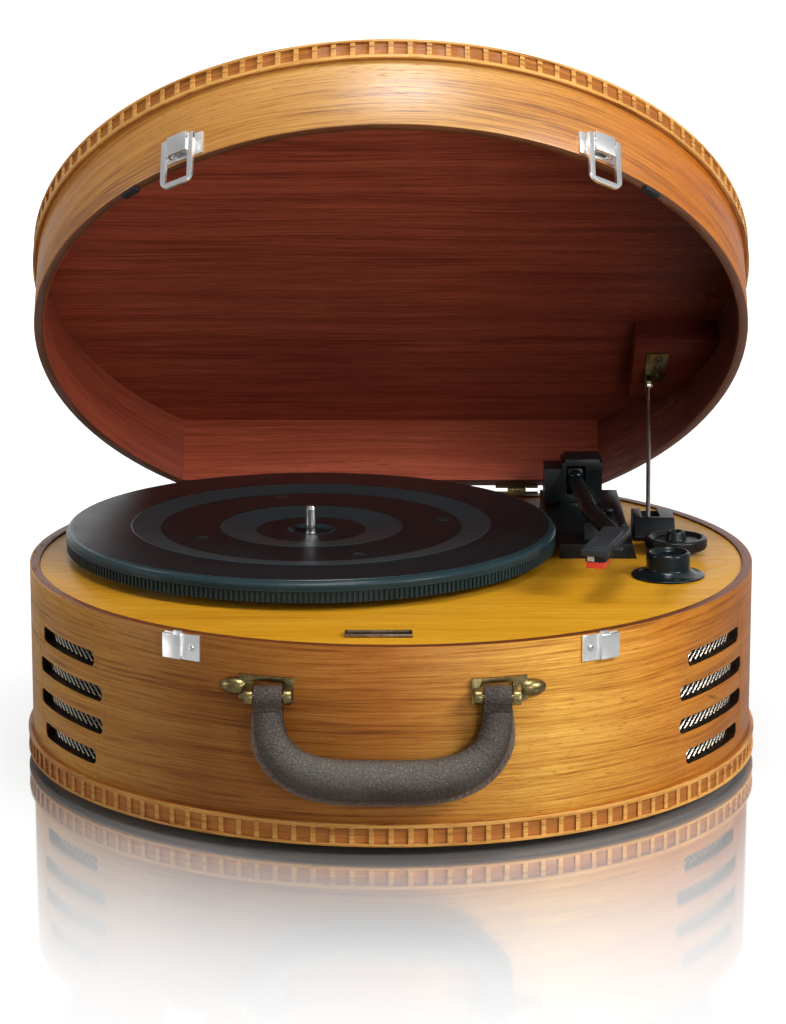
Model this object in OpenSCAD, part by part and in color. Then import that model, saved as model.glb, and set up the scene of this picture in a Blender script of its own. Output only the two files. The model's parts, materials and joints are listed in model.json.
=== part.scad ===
// Portable turntable: a round wooden case with a flat back and a hinged lid, shown open.
// Millimetres, +Z up, the viewer on the -Y side, the floor at z = 0.
// Every piece is placed about the case's own centre, then moved so that the origin lies under the middle
// of the open part. Lid pieces are drawn shut and swung open about the hinge pins.

/* [Case] */
// Outer radius of the round case
case_r = 220; // [200:1:240]
// From the centre of the round to the outer face of the flat back
flat_y = 172; // [166:1:185]
// Thickness of the bent side wall
side_wall = 6; // [4:0.5:8]
// Thickness of the flat rear board
rear_wall = 7.5; // [5:0.5:10]
// Height of the case, from the bottom of its trim to its rim
case_h = 114.5; // [105:0.5:140]
// Thickness of the bottom panel
bottom_t = 6; // [4:0.5:9]
// Thickness of the deck board
deck_t = 9; // [6:0.5:12]
// How far the deck lies below the rim
deck_drop = 1; // [0.5:0.1:3]
// Width of the ledge that carries the deck
ledge_w = 12; // [8:1:16]
// Height of the ledge that carries the deck
ledge_h = 12; // [8:1:16]
// Height of the rubber feet
foot_h = 6; // [4:0.5:12]
// Radius of the rubber feet
foot_r = 12; // [8:1:16]
// Distance of the feet from the centre
foot_ring = 165; // [140:1:175]

/* [Trim] */
// Height of the ribbed trim
trim_h = 13; // [11:0.5:18]
// How far the trim stands out from the wall
trim_out = 3; // [2:0.1:5]
// Height of the plain bead along the trim's inner edge
bead_h = 2.2; // [1:0.1:3]
// Height of the plain lip along the trim's outer edge
lip_h = 1.6; // [1:0.1:3]
// Distance between the trim's ribs
rib_pitch = 11; // [8:0.1:16]
// Width of a rib
rib_w = 2.9; // [2:0.1:4]
// Depth of the sunk panels between the ribs
panel_depth = 1.2; // [0.8:0.1:1.8]

/* [Lid] */
// Height of the lid, from its edge to the top of its trim
lid_h = 58.5; // [52:0.5:80]
// Depth inside the lid, from its edge to the inner panel
lid_depth = 46.7; // [46:0.1:49]
// Thickness of the lid's top panel
lid_panel_t = 9; // [5:0.5:9.5]
// Gap between the lid's edge and the rim when shut
lid_gap = 2.5; // [2:0.1:4]
// How far the lid stands open
lid_open = 43.8; // [35:0.1:50]
// Radius of the hinge knuckles
knuckle_r = 3; // [2.5:0.1:4]
// Length of the hinge barrel
barrel_l = 12; // [9:0.5:24]
// Radius of the hinge pins
hinge_pin_r = 1.2; // [0.8:0.1:1.6]
// Distance of each hinge from the middle
hinge_x = 83; // [50:1:100]
// Width of a hinge leaf
leaf_w = 28; // [24:1:40]
// Height of a hinge leaf
leaf_h = 20; // [14:1:28]
// Thickness of a hinge leaf
leaf_t = 1.5; // [1:0.1:2]

/* [Lid stay] */
// Sideways place of the stay's pivot, in from the case's right-hand edge
stay_x = 54; // [50:0.5:60]
// Place of the stay's pivot from the centre towards the back, lid shut
stay_pivot_y = 90; // [86:0.5:94]
// Height of the stay's pivot above the lid's edge, lid shut
stay_pivot_h = 26; // [25:0.5:27]
// Sideways place where the rod enters its guide, in from the right-hand edge
stay_guide_x = 59; // [56:0.5:61]
// Place where the rod enters its guide, towards the back
stay_guide_y = 54; // [52:0.5:56]
// Height where the rod enters its guide, above the rim
stay_guide_h = 8; // [6:0.5:9]
// Radius of the stay rod
stay_r = 1.4; // [1:0.1:2]
// Length of rod below the guide with the lid open
stay_tail = 18; // [10:1:24]
// Radius of the pin that carries the rod
stay_pin_r = 1.3; // [1:0.1:1.5]
// Depth of the block's face above the lid's edge
block_h = 31.5; // [31:0.5:36]

/* [Platter] */
// Radius of the platter
platter_r = 150; // [140:1:151]
// Place of the spindle, sideways
platter_x = -49; // [-52:0.5:-46]
// Place of the platter's edge, in from the rear board
platter_y = 3; // [2.5:0.5:6.5]
// Gap between the rim's level and the platter's lower edge
platter_gap = 4; // [3:0.1:6]
// Height of the platter's rim
platter_h = 13; // [12:0.5:14]
// Thickness of the platter's plate
plate_t = 2.5; // [2:0.1:3]
// Number of teeth round the rim
teeth = 300; // [90:10:320]
// Depth of the teeth
tooth_depth = 1.1; // [0.6:0.1:1.5]
// Height of the toothed band
tooth_h = 6.5; // [4:0.5:7]
// Radius of the record spindle
spindle_r = 3.55; // [3.5:0.01:3.6]
// Height of the spindle above the platter
spindle_rise = 11; // [9:0.5:14]
// Radial running clearance of shafts and pins
run_fit = 0.06; // [0.02:0.01:0.09]
// Radius of the belt ring under the platter
belt_ring_r = 62; // [50:1:70]
// Distance of the motor from the spindle
motor_reach = 100; // [94:1:106]
// Radius of the motor pulley
pulley_r = 6; // [4:0.5:8]
// Radius of the motor's can
motor_r = 18; // [14:1:22]
// Height of the motor's can
motor_h = 27; // [20:1:32]

/* [Tonearm] */
// Place of the arm's pivot, in from the case's right-hand edge
arm_x = 102; // [100:0.5:106]
// Place of the arm's pivot, towards the back
arm_y = 112; // [106:0.5:116]
// Height of the arm tube's middle above the rim
arm_h = 24; // [23:0.5:26]
// Radius of the arm tube
arm_r = 5; // [3.5:0.1:5.2]
// Height of the yoke's cap above the rim
yoke_top = 38; // [36:0.5:42]
// Height of the plinth above the rim
plinth_h = 8; // [6:0.5:9]
// Width of the headshell
head_w = 16; // [13:0.5:18]
// Length of the headshell
head_l = 62; // [56:1:72]
// Turn of the headshell away from the arm tube
head_turn = 16; // [14:0.5:20]
// Height of the needle's point above the platter with the arm lowered
needle_clear = 2; // [1.5:0.1:3]

/* [Controls] */
// Place of the volume knob, in from the case's right-hand edge
knob_x = 54.5; // [52:0.5:57]
// Place of the volume knob, towards the back
knob_y = -51; // [-54:0.5:-48]
// Radius of the volume knob
knob_r = 13; // [10:0.5:15]
// Radius of the knob's skirt
skirt_r = 22; // [18:0.5:22.5]
// Height of the volume knob
knob_h = 14.5; // [12:0.5:16]
// Radius of the knob's shaft
knob_shaft_r = 3; // [2:0.1:3.2]
// Place of the single adapter's post, in from the case's right-hand edge
adapter_x = 45; // [43:0.5:47]
// Place of the single adapter's post, towards the back
adapter_y = 9; // [7:0.5:10]
// Radius of the single adapter
adapter_r = 19; // [18.8:0.1:19.2]
// Thickness of the single adapter
adapter_t = 7; // [5:0.5:9]

/* [Speakers] */
// Turn of each speaker's middle from the front
speaker_turn = 60; // [58:0.5:62]
// Height of one slot
slot_h = 9.2; // [7:0.1:11]
// Distance between slots
slot_pitch = 19.6; // [17:0.1:21]
// Depth of the top slot's middle below the rim
slot_drop = 29; // [27:0.5:31]
// Length of the two long slots
slot_long = 83; // [70:1:88]
// Length of the two short slots
slot_short = 69; // [56:1:80]
// Corner radius of a slot
slot_corner = 3.4; // [1:0.1:3.5]
// Radius of the speaker's frame
speaker_r = 46; // [40:1:47]

/* [Latches] */
// Turn of each latch from the front
latch_turn = 32.7; // [30:0.1:36]
// Width of the lid's latch plate round its lever
latch_w = 23; // [20:0.5:26]
// Width of the flat flange beside each catch
latch_flange = 10.6; // [7:0.1:12]
// Thickness of the latch plates
latch_t = 1.3; // [1:0.1:2]
// Height of the catch plate on the case
catch_h = 15; // [13:0.5:22]
// Height of the catch pad above its plate
catch_pad = 2.6; // [1.5:0.1:3]
// Width of the latch lever
lever_w = 13.4; // [11:0.1:14]
// Height of the latch lever
lever_h = 13; // [11:0.5:18]
// Width of the latch loop
loop_w = 22; // [20:0.5:24]
// Width of the loop's wire
loop_bar = 3.4; // [2:0.1:3.6]
// How far the loop reaches below the lid's edge
loop_reach = 21; // [18:0.5:24]
// Radius of the latch pins
latch_pin_r = 0.9; // [0.6:0.1:1]

/* [Handle] */
// How far the handle's middle lies to the right of the case's middle
handle_x = -4.5; // [-6:0.5:6]
// Half the distance between the handle's pins
handle_half = 63.5; // [60:0.5:68]
// Depth of the handle's pins below the rim
handle_drop = 28; // [26:0.5:34]
// Radius of the handle's pins
handle_pin_r = 1.6; // [1.2:0.1:2]
// Radius of the leather end loops
end_loop_r = 6.8; // [5:0.1:7.5]
// Width of the leather end loops
end_loop_w = 15.6; // [12:0.2:16]
// Drop of the grip's middle line below its pins
grip_drop = 45; // [42:0.5:54]
// Height of the grip at its middle
grip_h = 23; // [20:0.5:28]
// Thickness of the grip at its middle
grip_t = 22; // [16:0.5:23]
// Thickness of the bracket plates
bracket_t = 2.2; // [1.5:0.1:3]
// Thickness of a bracket's ears
ear_t = 4.2; // [3.5:0.1:6.5]

/* [Back] */
// Width of the jack panel
jack_w = 92; // [70:1:110]
// Height of the jack panel
jack_h = 42; // [34:1:50]
// Radius of the power inlet's hole
inlet_r = 2.8; // [2.5:0.05:3]

/* [Hidden] */
$fn = 96;

wood_outside = "#c98a3c";
wood_inside = "#6a2a18";
wood_deck = "#c99a2a";
black = "#1c1d1f";
steel = "#c8c8c8";
chrome = "#e4e6e8";
bronze = "#8a7a45";
leather = "#463a34";

// Shared gaps
gap = 0.3;      // between pieces of different bodies that don't bear on each other
wood_fit = 0.2; // between boards that slide into each other
past = 1;       // how far a cutter runs past a face
ball_over = 0.1; // how far the ball at a bend stands out of its tube

// Levels
rim_z = foot_h + case_h;
deck_z = rim_z - deck_drop;
deck_low = deck_z - deck_t;
lid_z = rim_z + lid_gap;
panel_z = lid_z + lid_depth;
floor_top = foot_h + bottom_t;
inner_r = case_r - side_wall;
inner_y = flat_y - rear_wall;

// Places on the deck
platter_at = [platter_x, inner_y - platter_y - platter_r];
arm_at = [case_r - arm_x, arm_y];
knob_at = [case_r - knob_x, knob_y];
adapter_at = [case_r - adapter_x, adapter_y];

// The hinge line, the open lid and the place of the origin
hinge_y = flat_y + knuckle_r + 0.4;
hinge_z = rim_z + lid_gap / 2;
function turned(p, a) = [p.x, p.y * cos(a) + p.z * sin(a), p.z * cos(a) - p.y * sin(a)];
function opened_point(p) = turned(p - [0, hinge_y, hinge_z], lid_open) + [0, hinge_y, hinge_z];
handle_y = -(sqrt(case_r * case_r - pow(handle_half - abs(handle_x) - end_loop_w / 2, 2)) + end_loop_r + 1);
grip_y = -(case_r + grip_t / 2 + 1.2);
reach_front = grip_y - grip_t / 2;
reach_back = opened_point([0, flat_y + trim_out, lid_z + lid_h]).y;
origin_y = (reach_front + reach_back) / 2;

module placed() translate([0, -origin_y, 0]) children();
module opened() placed() translate([0, hinge_y, hinge_z]) rotate([-lid_open, 0, 0])
    translate([0, -hinge_y, -hinge_z]) children();
module both_sides() {
    children();
    mirror([1, 0, 0]) children();
}
// Turns a piece drawn at the front of the round to the right by a degrees
module round_to(a) rotate([0, 0, a]) children();

// A block between two corners
module block(low, high) translate(low) cube(high - low);
// A cylinder along X, Y or Z from a point
module rod_x(p, r, l) translate(p) rotate([0, 90, 0]) cylinder(r = r, h = l);
module rod_y(p, r, l) translate(p) rotate([-90, 0, 0]) cylinder(r = r, h = l);
module rod_z(p, r, l) translate(p) cylinder(r = r, h = l);
// A cylinder between two points
module strut(a, b, r) {
    d = b - a;
    l = norm(d);
    translate(a) rotate([0, acos(d.z / l), atan2(d.y, d.x)]) cylinder(r = r, h = l);
}
// The same with a ball at its second end
module link(a, b, r) {
    strut(a, b, r);
    translate(b) sphere(r = r + ball_over);
}

// The case's plan: a round of radius r cut flat at y = back
module flat_round(r, back, z, h) intersection() {
    rod_z([0, 0, z], r, h);
    block([-r - past, -r - past, z - past], [r + past, back, z + h + past]);
}
// A band that follows the plan, from the inner to the outer outline
module flat_band(r_in, back_in, r_out, back_out, z, h) difference() {
    flat_round(r_out, back_out, z, h);
    flat_round(r_in, back_in, z - past, h + 2 * past);
}
// A bent wall of the round part alone, open at the back
module bent_wall(z, h) intersection() {
    difference() {
        rod_z([0, 0, z], case_r, h);
        rod_z([0, 0, z - past], inner_r, h + 2 * past);
    }
    block([-case_r - past, -case_r - past, z - past], [case_r + past, inner_y, z + h + past]);
}
// The flat rear board, its ends flush with the round
module rear_board(z, h) intersection() {
    rod_z([0, 0, z], case_r, h);
    block([-case_r, inner_y, z - past], [case_r, flat_y, z + h + past]);
}

// The ribbed outline: sunk panels round the arc from corner to corner, then along the flat back
edge_out = 0.4; // how far the lip and the bead stand out from the ribs
trim_r = case_r + trim_out - edge_out;
trim_back = flat_y + trim_out - edge_out;
trim_corner = asin(trim_back / trim_r);
arc_span = 180 + 2 * trim_corner;
arc_panels = floor(arc_span / 360 * 2 * PI * trim_r / rib_pitch);
panel_turn = arc_span / arc_panels - rib_w / trim_r * 180 / PI;
arc_steps = [for (i = [0:arc_panels - 1]) 180 - trim_corner + (i + 0.5) * arc_span / arc_panels];
back_half = trim_r * cos(trim_corner);
back_panels = floor(2 * back_half / rib_pitch) - 1;
back_pitch = 2 * back_half / (back_panels + 1);
back_panel_w = back_pitch - rib_w;
function on_round(r, a) = [r * cos(a), r * sin(a)];
function panel_on_round(a) = [
    on_round(trim_r, a - panel_turn / 2),
    on_round(trim_r - panel_depth, a - panel_turn / 2),
    on_round(trim_r - panel_depth, a + panel_turn / 2),
    on_round(trim_r, a + panel_turn / 2)
];
function panel_on_back(x) = [
    [x + back_panel_w / 2, trim_back],
    [x + back_panel_w / 2, trim_back - panel_depth],
    [x - back_panel_w / 2, trim_back - panel_depth],
    [x - back_panel_w / 2, trim_back]
];
ribbed_outline = concat(
    [[-back_half, trim_back]],
    [for (a = arc_steps) each panel_on_round(a)],
    [[back_half, trim_back]],
    [for (i = [1:back_panels]) each panel_on_back(back_half - i * back_pitch)]
);
// The trim: a plain lip, the ribbed band and a plain bead, from the outer edge of the case inwards
band_in = 0.5; // how far the ribbed band runs into the lip and the bead
module trim_ring(z, up) {
    $fn = 360;
    lip_z = up ? z : z + trim_h - lip_h;
    bead_z = up ? z + trim_h - bead_h : z;
    band_z = up ? z + lip_h : z + bead_h;
    difference() {
        union() {
            flat_round(trim_r + edge_out, trim_back + edge_out, lip_z, lip_h);
            translate([0, 0, band_z - band_in]) linear_extrude(trim_h - lip_h - bead_h + 2 * band_in)
                polygon(ribbed_outline);
            flat_round(trim_r + edge_out, trim_back + edge_out, bead_z, bead_h);
        }
        flat_round(case_r, flat_y, z - past, trim_h + 2 * past);
    }
}

// Case

slots = [
    [slot_short, 0],
    [slot_long, 1],
    [slot_long, 2],
    [slot_short, 3]
];
// One slot's cutter at the front of the round, with rounded corners
module slot_cutter(l, z) {
    y = -case_r - past;
    depth = side_wall + case_r - sqrt(case_r * case_r - l * l / 4) + 2 * past;
    block([-l / 2 + slot_corner, y, z - slot_h / 2], [l / 2 - slot_corner, y + depth, z + slot_h / 2]);
    block([-l / 2, y, z - slot_h / 2 + slot_corner], [l / 2, y + depth, z + slot_h / 2 - slot_corner]);
    for (sx = [-1, 1], sz = [-1, 1])
        rod_y([sx * (l / 2 - slot_corner), y, z + sz * (slot_h / 2 - slot_corner)], slot_corner, depth);
}
module slot_cutters() for (side = [-1, 1]) round_to(side * speaker_turn)
    for (s = slots) slot_cutter(s[0], rim_z - slot_drop - s[1] * slot_pitch);

module case_wall() color(wood_outside) placed() difference() {
    bent_wall(foot_h, case_h);
    slot_cutters();
}

jack_z = foot_h + trim_h + 18;
jack_rim = 6;
panel_screw_x = jack_w / 2 - jack_rim / 2;
module case_rear_wall() color(wood_outside) placed() difference() {
    rear_board(foot_h, case_h);
    block([-jack_w / 2 + jack_rim, inner_y - past, jack_z + jack_rim],
        [jack_w / 2 - jack_rim, flat_y + past, jack_z + jack_h - jack_rim]);
    for (x = [-1, 1])
        rod_y([x * panel_screw_x, inner_y - past, jack_z + jack_h / 2], panel_screw_r, rear_wall + 2 * past);
}

module base_trim() color(wood_outside) placed() trim_ring(foot_h, true);

foot_screw_r = 1.8;
module foot_places() for (a = [35, 145, 215, 325]) rotate([0, 0, a]) translate([foot_ring, 0, 0]) children();
module bottom_panel() color(wood_outside) placed()
    flat_round(inner_r - wood_fit, inner_y - wood_fit, foot_h, bottom_t);
module feet() color(black) placed() foot_places() difference() {
    rotate_extrude() polygon([[0, 0], [foot_r - 1.5, 0], [foot_r, 1.5], [foot_r, foot_h], [0, foot_h]]);
    rod_z([0, 0, -past], foot_screw_r * 2, foot_h / 2 + past);
}

module deck_ledge() color(wood_outside) placed() difference() {
    flat_band(inner_r - ledge_w, inner_y - ledge_w, inner_r - wood_fit, inner_y - wood_fit,
        deck_low - ledge_h, ledge_h);
    // Room for the speakers
    for (side = [-1, 1]) round_to(side * speaker_turn)
        block([-baffle_half - past, -case_r, deck_low - ledge_h - past],
            [baffle_half + past, 0, deck_low + past]);
}

// Holes through the deck
bush_r = 8;
pulley_hole = pulley_r + 3;
motor_turn = 225;
motor_at = platter_at + motor_reach * [cos(motor_turn), sin(motor_turn)];
pot_bush_r = 4.5;
module deck_board() color(wood_deck) placed() difference() {
    flat_round(inner_r - wood_fit, inner_y - wood_fit, deck_low, deck_t);
    rod_z([platter_at.x, platter_at.y, deck_low - past], bush_r, deck_t + 2 * past);
    rod_z([motor_at.x, motor_at.y, deck_low - past], pulley_hole, deck_t + 2 * past);
    rod_z([knob_at.x, knob_at.y, deck_low - past], pot_bush_r, deck_t + 2 * past);
    rod_z([adapter_at.x, adapter_at.y, deck_low - past], adapter_post_r, deck_t + 2 * past);
    stay_path(stay_room);
}

badge_x = -7;
badge_inset = 23; // from the wall's inner face to the badge's middle
badge_y = badge_inset - inner_r;
badge_w = 38;
badge_d = 10;
badge_t = 2.2;
module badge_plate() color(steel) placed()
    block([badge_x - badge_w / 2, badge_y - badge_d / 2, deck_z],
        [badge_x + badge_w / 2, badge_y + badge_d / 2, deck_z + badge_t]);

// Speakers: a curved perforated sheet on the wall's inner face, a flat ring board, then the driver
grille_t = 1;
slot_middle = rim_z - slot_drop - 1.5 * slot_pitch;
grille_edge = 5; // how far the sheet reaches past the slots
grille_half = slot_long / 2 + grille_edge + 1;
grille_h = 3 * slot_pitch + slot_h + 2 * grille_edge;
module at_speaker() placed() for (side = [-1, 1]) round_to(side * speaker_turn) children();
module speaker_grilles() color(steel) at_speaker() intersection() {
    difference() {
        rod_z([0, 0, slot_middle - grille_h / 2], inner_r, grille_h);
        rod_z([0, 0, slot_middle - grille_h / 2 - past], inner_r - grille_t, grille_h + 2 * past);
    }
    block([-grille_half, -case_r, 0], [grille_half, 0, rim_z]);
}
baffle_t = 8;
baffle_half = speaker_r + 2;
baffle_y = -sqrt(pow(inner_r - grille_t, 2) - pow(baffle_half, 2));
cone_r = speaker_r - 7;
module speaker_baffles() color(black) at_speaker()
    difference() {
        block([-baffle_half, baffle_y, slot_middle - baffle_half + 1],
            [baffle_half, baffle_y + baffle_t, slot_middle + baffle_half - 1]);
        rod_y([0, baffle_y - past, slot_middle], cone_r, baffle_t + 2 * past);
    }
frame_y = baffle_y + baffle_t;
frame_t = 2;
frame_depth = 20;
magnet_r = 28;
magnet_t = 14;
cone_t = 1;
cone_neck = 12;
module speaker_frames() color(black) at_speaker()
    translate([0, frame_y, slot_middle]) rotate([-90, 0, 0]) rotate_extrude() polygon([
        [cone_r, 0], [speaker_r, 0], [speaker_r, frame_t], [cone_r + frame_t, frame_t],
        [magnet_r, frame_depth], [magnet_r, frame_depth + magnet_t], [0, frame_depth + magnet_t],
        [0, frame_depth], [magnet_r - frame_t, frame_depth]
    ]);
module speaker_cones() color(black) at_speaker()
    translate([0, frame_y, slot_middle]) rotate([-90, 0, 0]) rotate_extrude() polygon([
        [cone_r, 0], [cone_neck, frame_depth - 3], [cone_neck, frame_depth], [0, frame_depth],
        [0, frame_depth - 6], [cone_neck - 2, frame_depth - 6], [cone_r - 2 * cone_t, -cone_t],
        [cone_r, -cone_t]
    ]);

// Latch catches on the case: a plate that follows the wall, a raised pad, a flat flange on the side towards
// the handle and a small tab at the top
catch_top = rim_z - 0.5;
catch_pad_w = 13.4;
catch_off = 2.7;     // how far the pad's middle lies to the outer side of the latch's
catch_edge = 0.5;   // plain edge of the plate above and below the pad
catch_tab_w = 4.5;
catch_tab_up = 1.8; // how far the tab stands above the plate
// Drawn at the right-hand latch's place, its inner side towards -X, and mirrored for the left-hand one
module latch_side(side) round_to(side * latch_turn) {
    if (side > 0) children();
    if (side < 0) mirror([1, 0, 0]) children();
}
module latch_plate(low, high, z, h) intersection() {
    difference() {
        rod_z([0, 0, z], case_r + latch_t, h);
        rod_z([0, 0, z - past], case_r, h + 2 * past);
    }
    block([low, -2 * case_r, z - past], [high, 0, z + h + past]);
}
pad_half = catch_pad_w / 2 - catch_edge;
tab_x = catch_off - pad_half + catch_edge;
pad_y = -case_r - latch_t - catch_pad;
pad_face = sqrt(pow(case_r + latch_t, 2) - pow(catch_pad_w / 2 + catch_off, 2));
module latch_catches() color(chrome) placed() for (side = [-1, 1]) latch_side(side) {
    $fn = 360;
    latch_plate(catch_off - catch_pad_w / 2 - latch_flange, catch_off + catch_pad_w / 2, catch_top - catch_h,
        catch_h);
    difference() {
        union() {
            block([catch_off - pad_half, pad_y, catch_top - catch_h + catch_edge],
                [catch_off + pad_half, -pad_face + latch_t, catch_top - catch_edge]);
            block([tab_x, pad_y + catch_edge, catch_top - catch_h / 2],
                [tab_x + catch_tab_w, pad_y + catch_pad + catch_edge, catch_top + catch_tab_up]);
        }
        rod_z([0, 0, 0], case_r + latch_t / 2, rim_z + 2 * catch_tab_up);
    }
}

// Handle brackets: a plate that follows the wall, two ears round the leather loop and a rounded finial
handle_z = rim_z - handle_drop;
ear_in = end_loop_w / 2 + 0.8;
ear_out = ear_in + ear_t;
plate_up = 9;
plate_down = 5;
ear_r = 4.2;
finial_l = 17;
finial_r = 5;
finial_sink = 2; // how far the finial reaches into the ear
finial_off = 0.8; // how far the finial's middle line stands off the wall
finial_at = ear_out + finial_l / 2 - finial_sink;
// The bracket for a pin centred at x, its finial on the side given by out
module handle_bracket(x, out) {
    wall_y = -sqrt(case_r * case_r - x * x);
    x_in = x - out * (ear_out + 1.5);
    x_out = x + out * (ear_out + 4);
    difference() {
        union() {
            intersection() {
                difference() {
                    rod_z([0, 0, handle_z - plate_down], case_r + bracket_t, plate_up + plate_down);
                    rod_z([0, 0, 0], case_r, rim_z);
                }
                block([min(x_in, x_out), -2 * case_r, 0], [max(x_in, x_out), 0, rim_z]);
            }
            for (s = [-1, 1]) {
                ear_x = x + s * (ear_in + ear_t / 2) - ear_t / 2;
                rod_x([ear_x, handle_y, handle_z], ear_r, ear_t);
                block([ear_x, handle_y, handle_z - ear_r], [ear_x + ear_t, wall_y + 4, handle_z + ear_r]);
            }
            translate([x + out * finial_at, 0, handle_z + 1.5]) finial(x, out);
        }
        block([x - ear_in, -2 * case_r, handle_z - past - ear_r - plate_down],
            [x + ear_in, 0, handle_z + plate_up - 2.5]);
        rod_x([x - 2 * ear_out, handle_y, handle_z], handle_pin_r, 4 * ear_out);
        rod_z([0, 0, 0], case_r, rim_z);
    }
}
// A long rounded knob lying along the wall
module finial(x, out) {
    mid_x = x + out * finial_at;
    turn = asin(mid_x / case_r);
    translate([0, -(case_r + finial_off) * cos(turn), 0]) rotate([0, 0, turn]) rotate([0, 90, 0])
        rotate_extrude() polygon([
            [0, -finial_l / 2],
            for (i = [1:11]) [finial_r * sin(i * 15), -finial_l / 2 * cos(i * 15)],
            [0, finial_l / 2]
        ]);
}
handle_sides = [-1, 1];
module handle_brackets() color(bronze) placed() for (s = handle_sides)
    handle_bracket(handle_x + s * handle_half, s);
module handle_pins() color(bronze) placed() for (s = handle_sides)
    rod_x([handle_x + s * handle_half - ear_out, handle_y, handle_z], handle_pin_r, 2 * ear_out);

// Hinges: a leaf on each rear board with its knuckles round a shared pin
knuckle_l = barrel_l / 3;
module hinge_leaf(up) {
    low = up ? hinge_z + gap : hinge_z - gap - leaf_h;
    difference() {
        union() {
            block([-leaf_w / 2, flat_y, low], [leaf_w / 2, flat_y + leaf_t, low + leaf_h]);
            for (i = [-1, 0, 1]) if ((i == 0) == up) {
                x = i * knuckle_l - knuckle_l / 2 + gap / 2;
                rod_x([x, hinge_y, hinge_z], knuckle_r, knuckle_l - gap);
                if (up) block([x, flat_y, hinge_z], [x + knuckle_l - gap, hinge_y, hinge_z + knuckle_r]);
                if (!up) block([x, flat_y, hinge_z - knuckle_r], [x + knuckle_l - gap, hinge_y, hinge_z]);
            }
        }
        rod_x([-barrel_l, hinge_y, hinge_z], hinge_pin_r + (up ? run_fit : 0), 2 * barrel_l);
        // Room for the other leaf's knuckles
        for (i = [-1, 0, 1]) if ((i == 0) != up)
            rod_x([i * knuckle_l - knuckle_l / 2, hinge_y, hinge_z], knuckle_r + gap, knuckle_l);
    }
}
module hinge_case_leaves() color(bronze) placed() both_sides() translate([hinge_x, 0, 0]) hinge_leaf(false);
module hinge_pins() color(steel) placed() both_sides()
    rod_x([hinge_x - barrel_l / 2, hinge_y, hinge_z], hinge_pin_r, barrel_l);

// The lid stay: the rod keeps its slant while the lid swings, so its path through the guide is a slot
stay_pivot = [case_r - stay_x, stay_pivot_y, lid_z + stay_pivot_h];
stay_pivot_open = opened_point(stay_pivot);
stay_guide_at = [case_r - stay_guide_x, stay_guide_y, rim_z + stay_guide_h];
stay_run = stay_guide_at - stay_pivot_open;
stay_dir = stay_run / norm(stay_run);
stay_room = 1;
stay_steps = [for (i = [0:8]) lid_open * i / 8];
// How far the rod's line lies beside its open line, with the lid shut to angle a
function stay_shift(a) = let (d = turned(stay_pivot - [0, hinge_y, hinge_z], a)
    + [0, hinge_y, hinge_z] - stay_pivot_open) d - stay_dir * (d * stay_dir);
stay_across = [0, -stay_dir.z, stay_dir.y] / norm([0, stay_dir.z, stay_dir.y]);
stay_side_min = min([for (a = stay_steps) stay_shift(a).x]);
stay_side_max = max([for (a = stay_steps) stay_shift(a).x]);
stay_over_min = min([for (a = stay_steps) stay_shift(a) * stay_across]);
stay_over_max = max([for (a = stay_steps) stay_shift(a) * stay_across]);
module along_stay() translate(stay_guide_at)
    rotate([atan2(stay_dir.y, -stay_dir.z) + 180, 0, 0]) children();
// The space that the rod sweeps through the guide and the deck, with room round it
module stay_path(room) along_stay() {
    side = abs(stay_dir.x) * 30 + stay_r + room;
    block([stay_side_min - side, -stay_over_max - stay_r - room, -30],
        [stay_side_max + side, -stay_over_min + stay_r + room, 40]);
}
guide_x0 = stay_guide_at.x - 9.5;
guide_x1 = stay_guide_at.x + 16;
guide_y0 = stay_guide_at.y - 16;
guide_y1 = stay_guide_at.y + 20;
guide_h = 13;
module stay_guide() color(black) placed() difference() {
    translate([guide_x0, 0, deck_z]) rotate([90, 0, 90]) linear_extrude(guide_x1 - guide_x0) polygon([
        [guide_y0, 0], [guide_y1, 0], [guide_y1, guide_h], [guide_y0 + 9, guide_h], [guide_y0, 3]
    ]);
    stay_path(stay_room);
}

// Drive

// Height of each step down from the platter's rim to its middle
platter_step = 2;
platter_low = rim_z + platter_gap;
platter_top = platter_low + platter_h;
needle_z = platter_top + needle_clear;
spindle_top = platter_top + spindle_rise;
cup_z = platter_top - 2 * platter_step - 1.5;
// The spindle's lower end, which the platter turns on
bearing_r = spindle_r + 0.5;
bush_flange = 2.5;
module bearing_bush() color(bronze) placed() translate([platter_at.x, platter_at.y, 0]) difference() {
    union() {
        rod_z([0, 0, deck_low - 14], bush_r, deck_t + 14);
        rod_z([0, 0, deck_low - 4], bush_r + 6, 4);
        rod_z([0, 0, deck_z], bush_r + 3, bush_flange);
    }
    rod_z([0, 0, deck_low - 10], bearing_r, 2 * deck_t + 20);
}
module spindle() color(steel) placed() translate([platter_at.x, platter_at.y, 0]) rotate_extrude() polygon([
    [0, deck_low - 10], [bearing_r, deck_low - 10], [bearing_r, cup_z], [spindle_r, cup_z],
    [spindle_r, spindle_top - 2], [spindle_r - 1.2, spindle_top], [0, spindle_top]
]);

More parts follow.
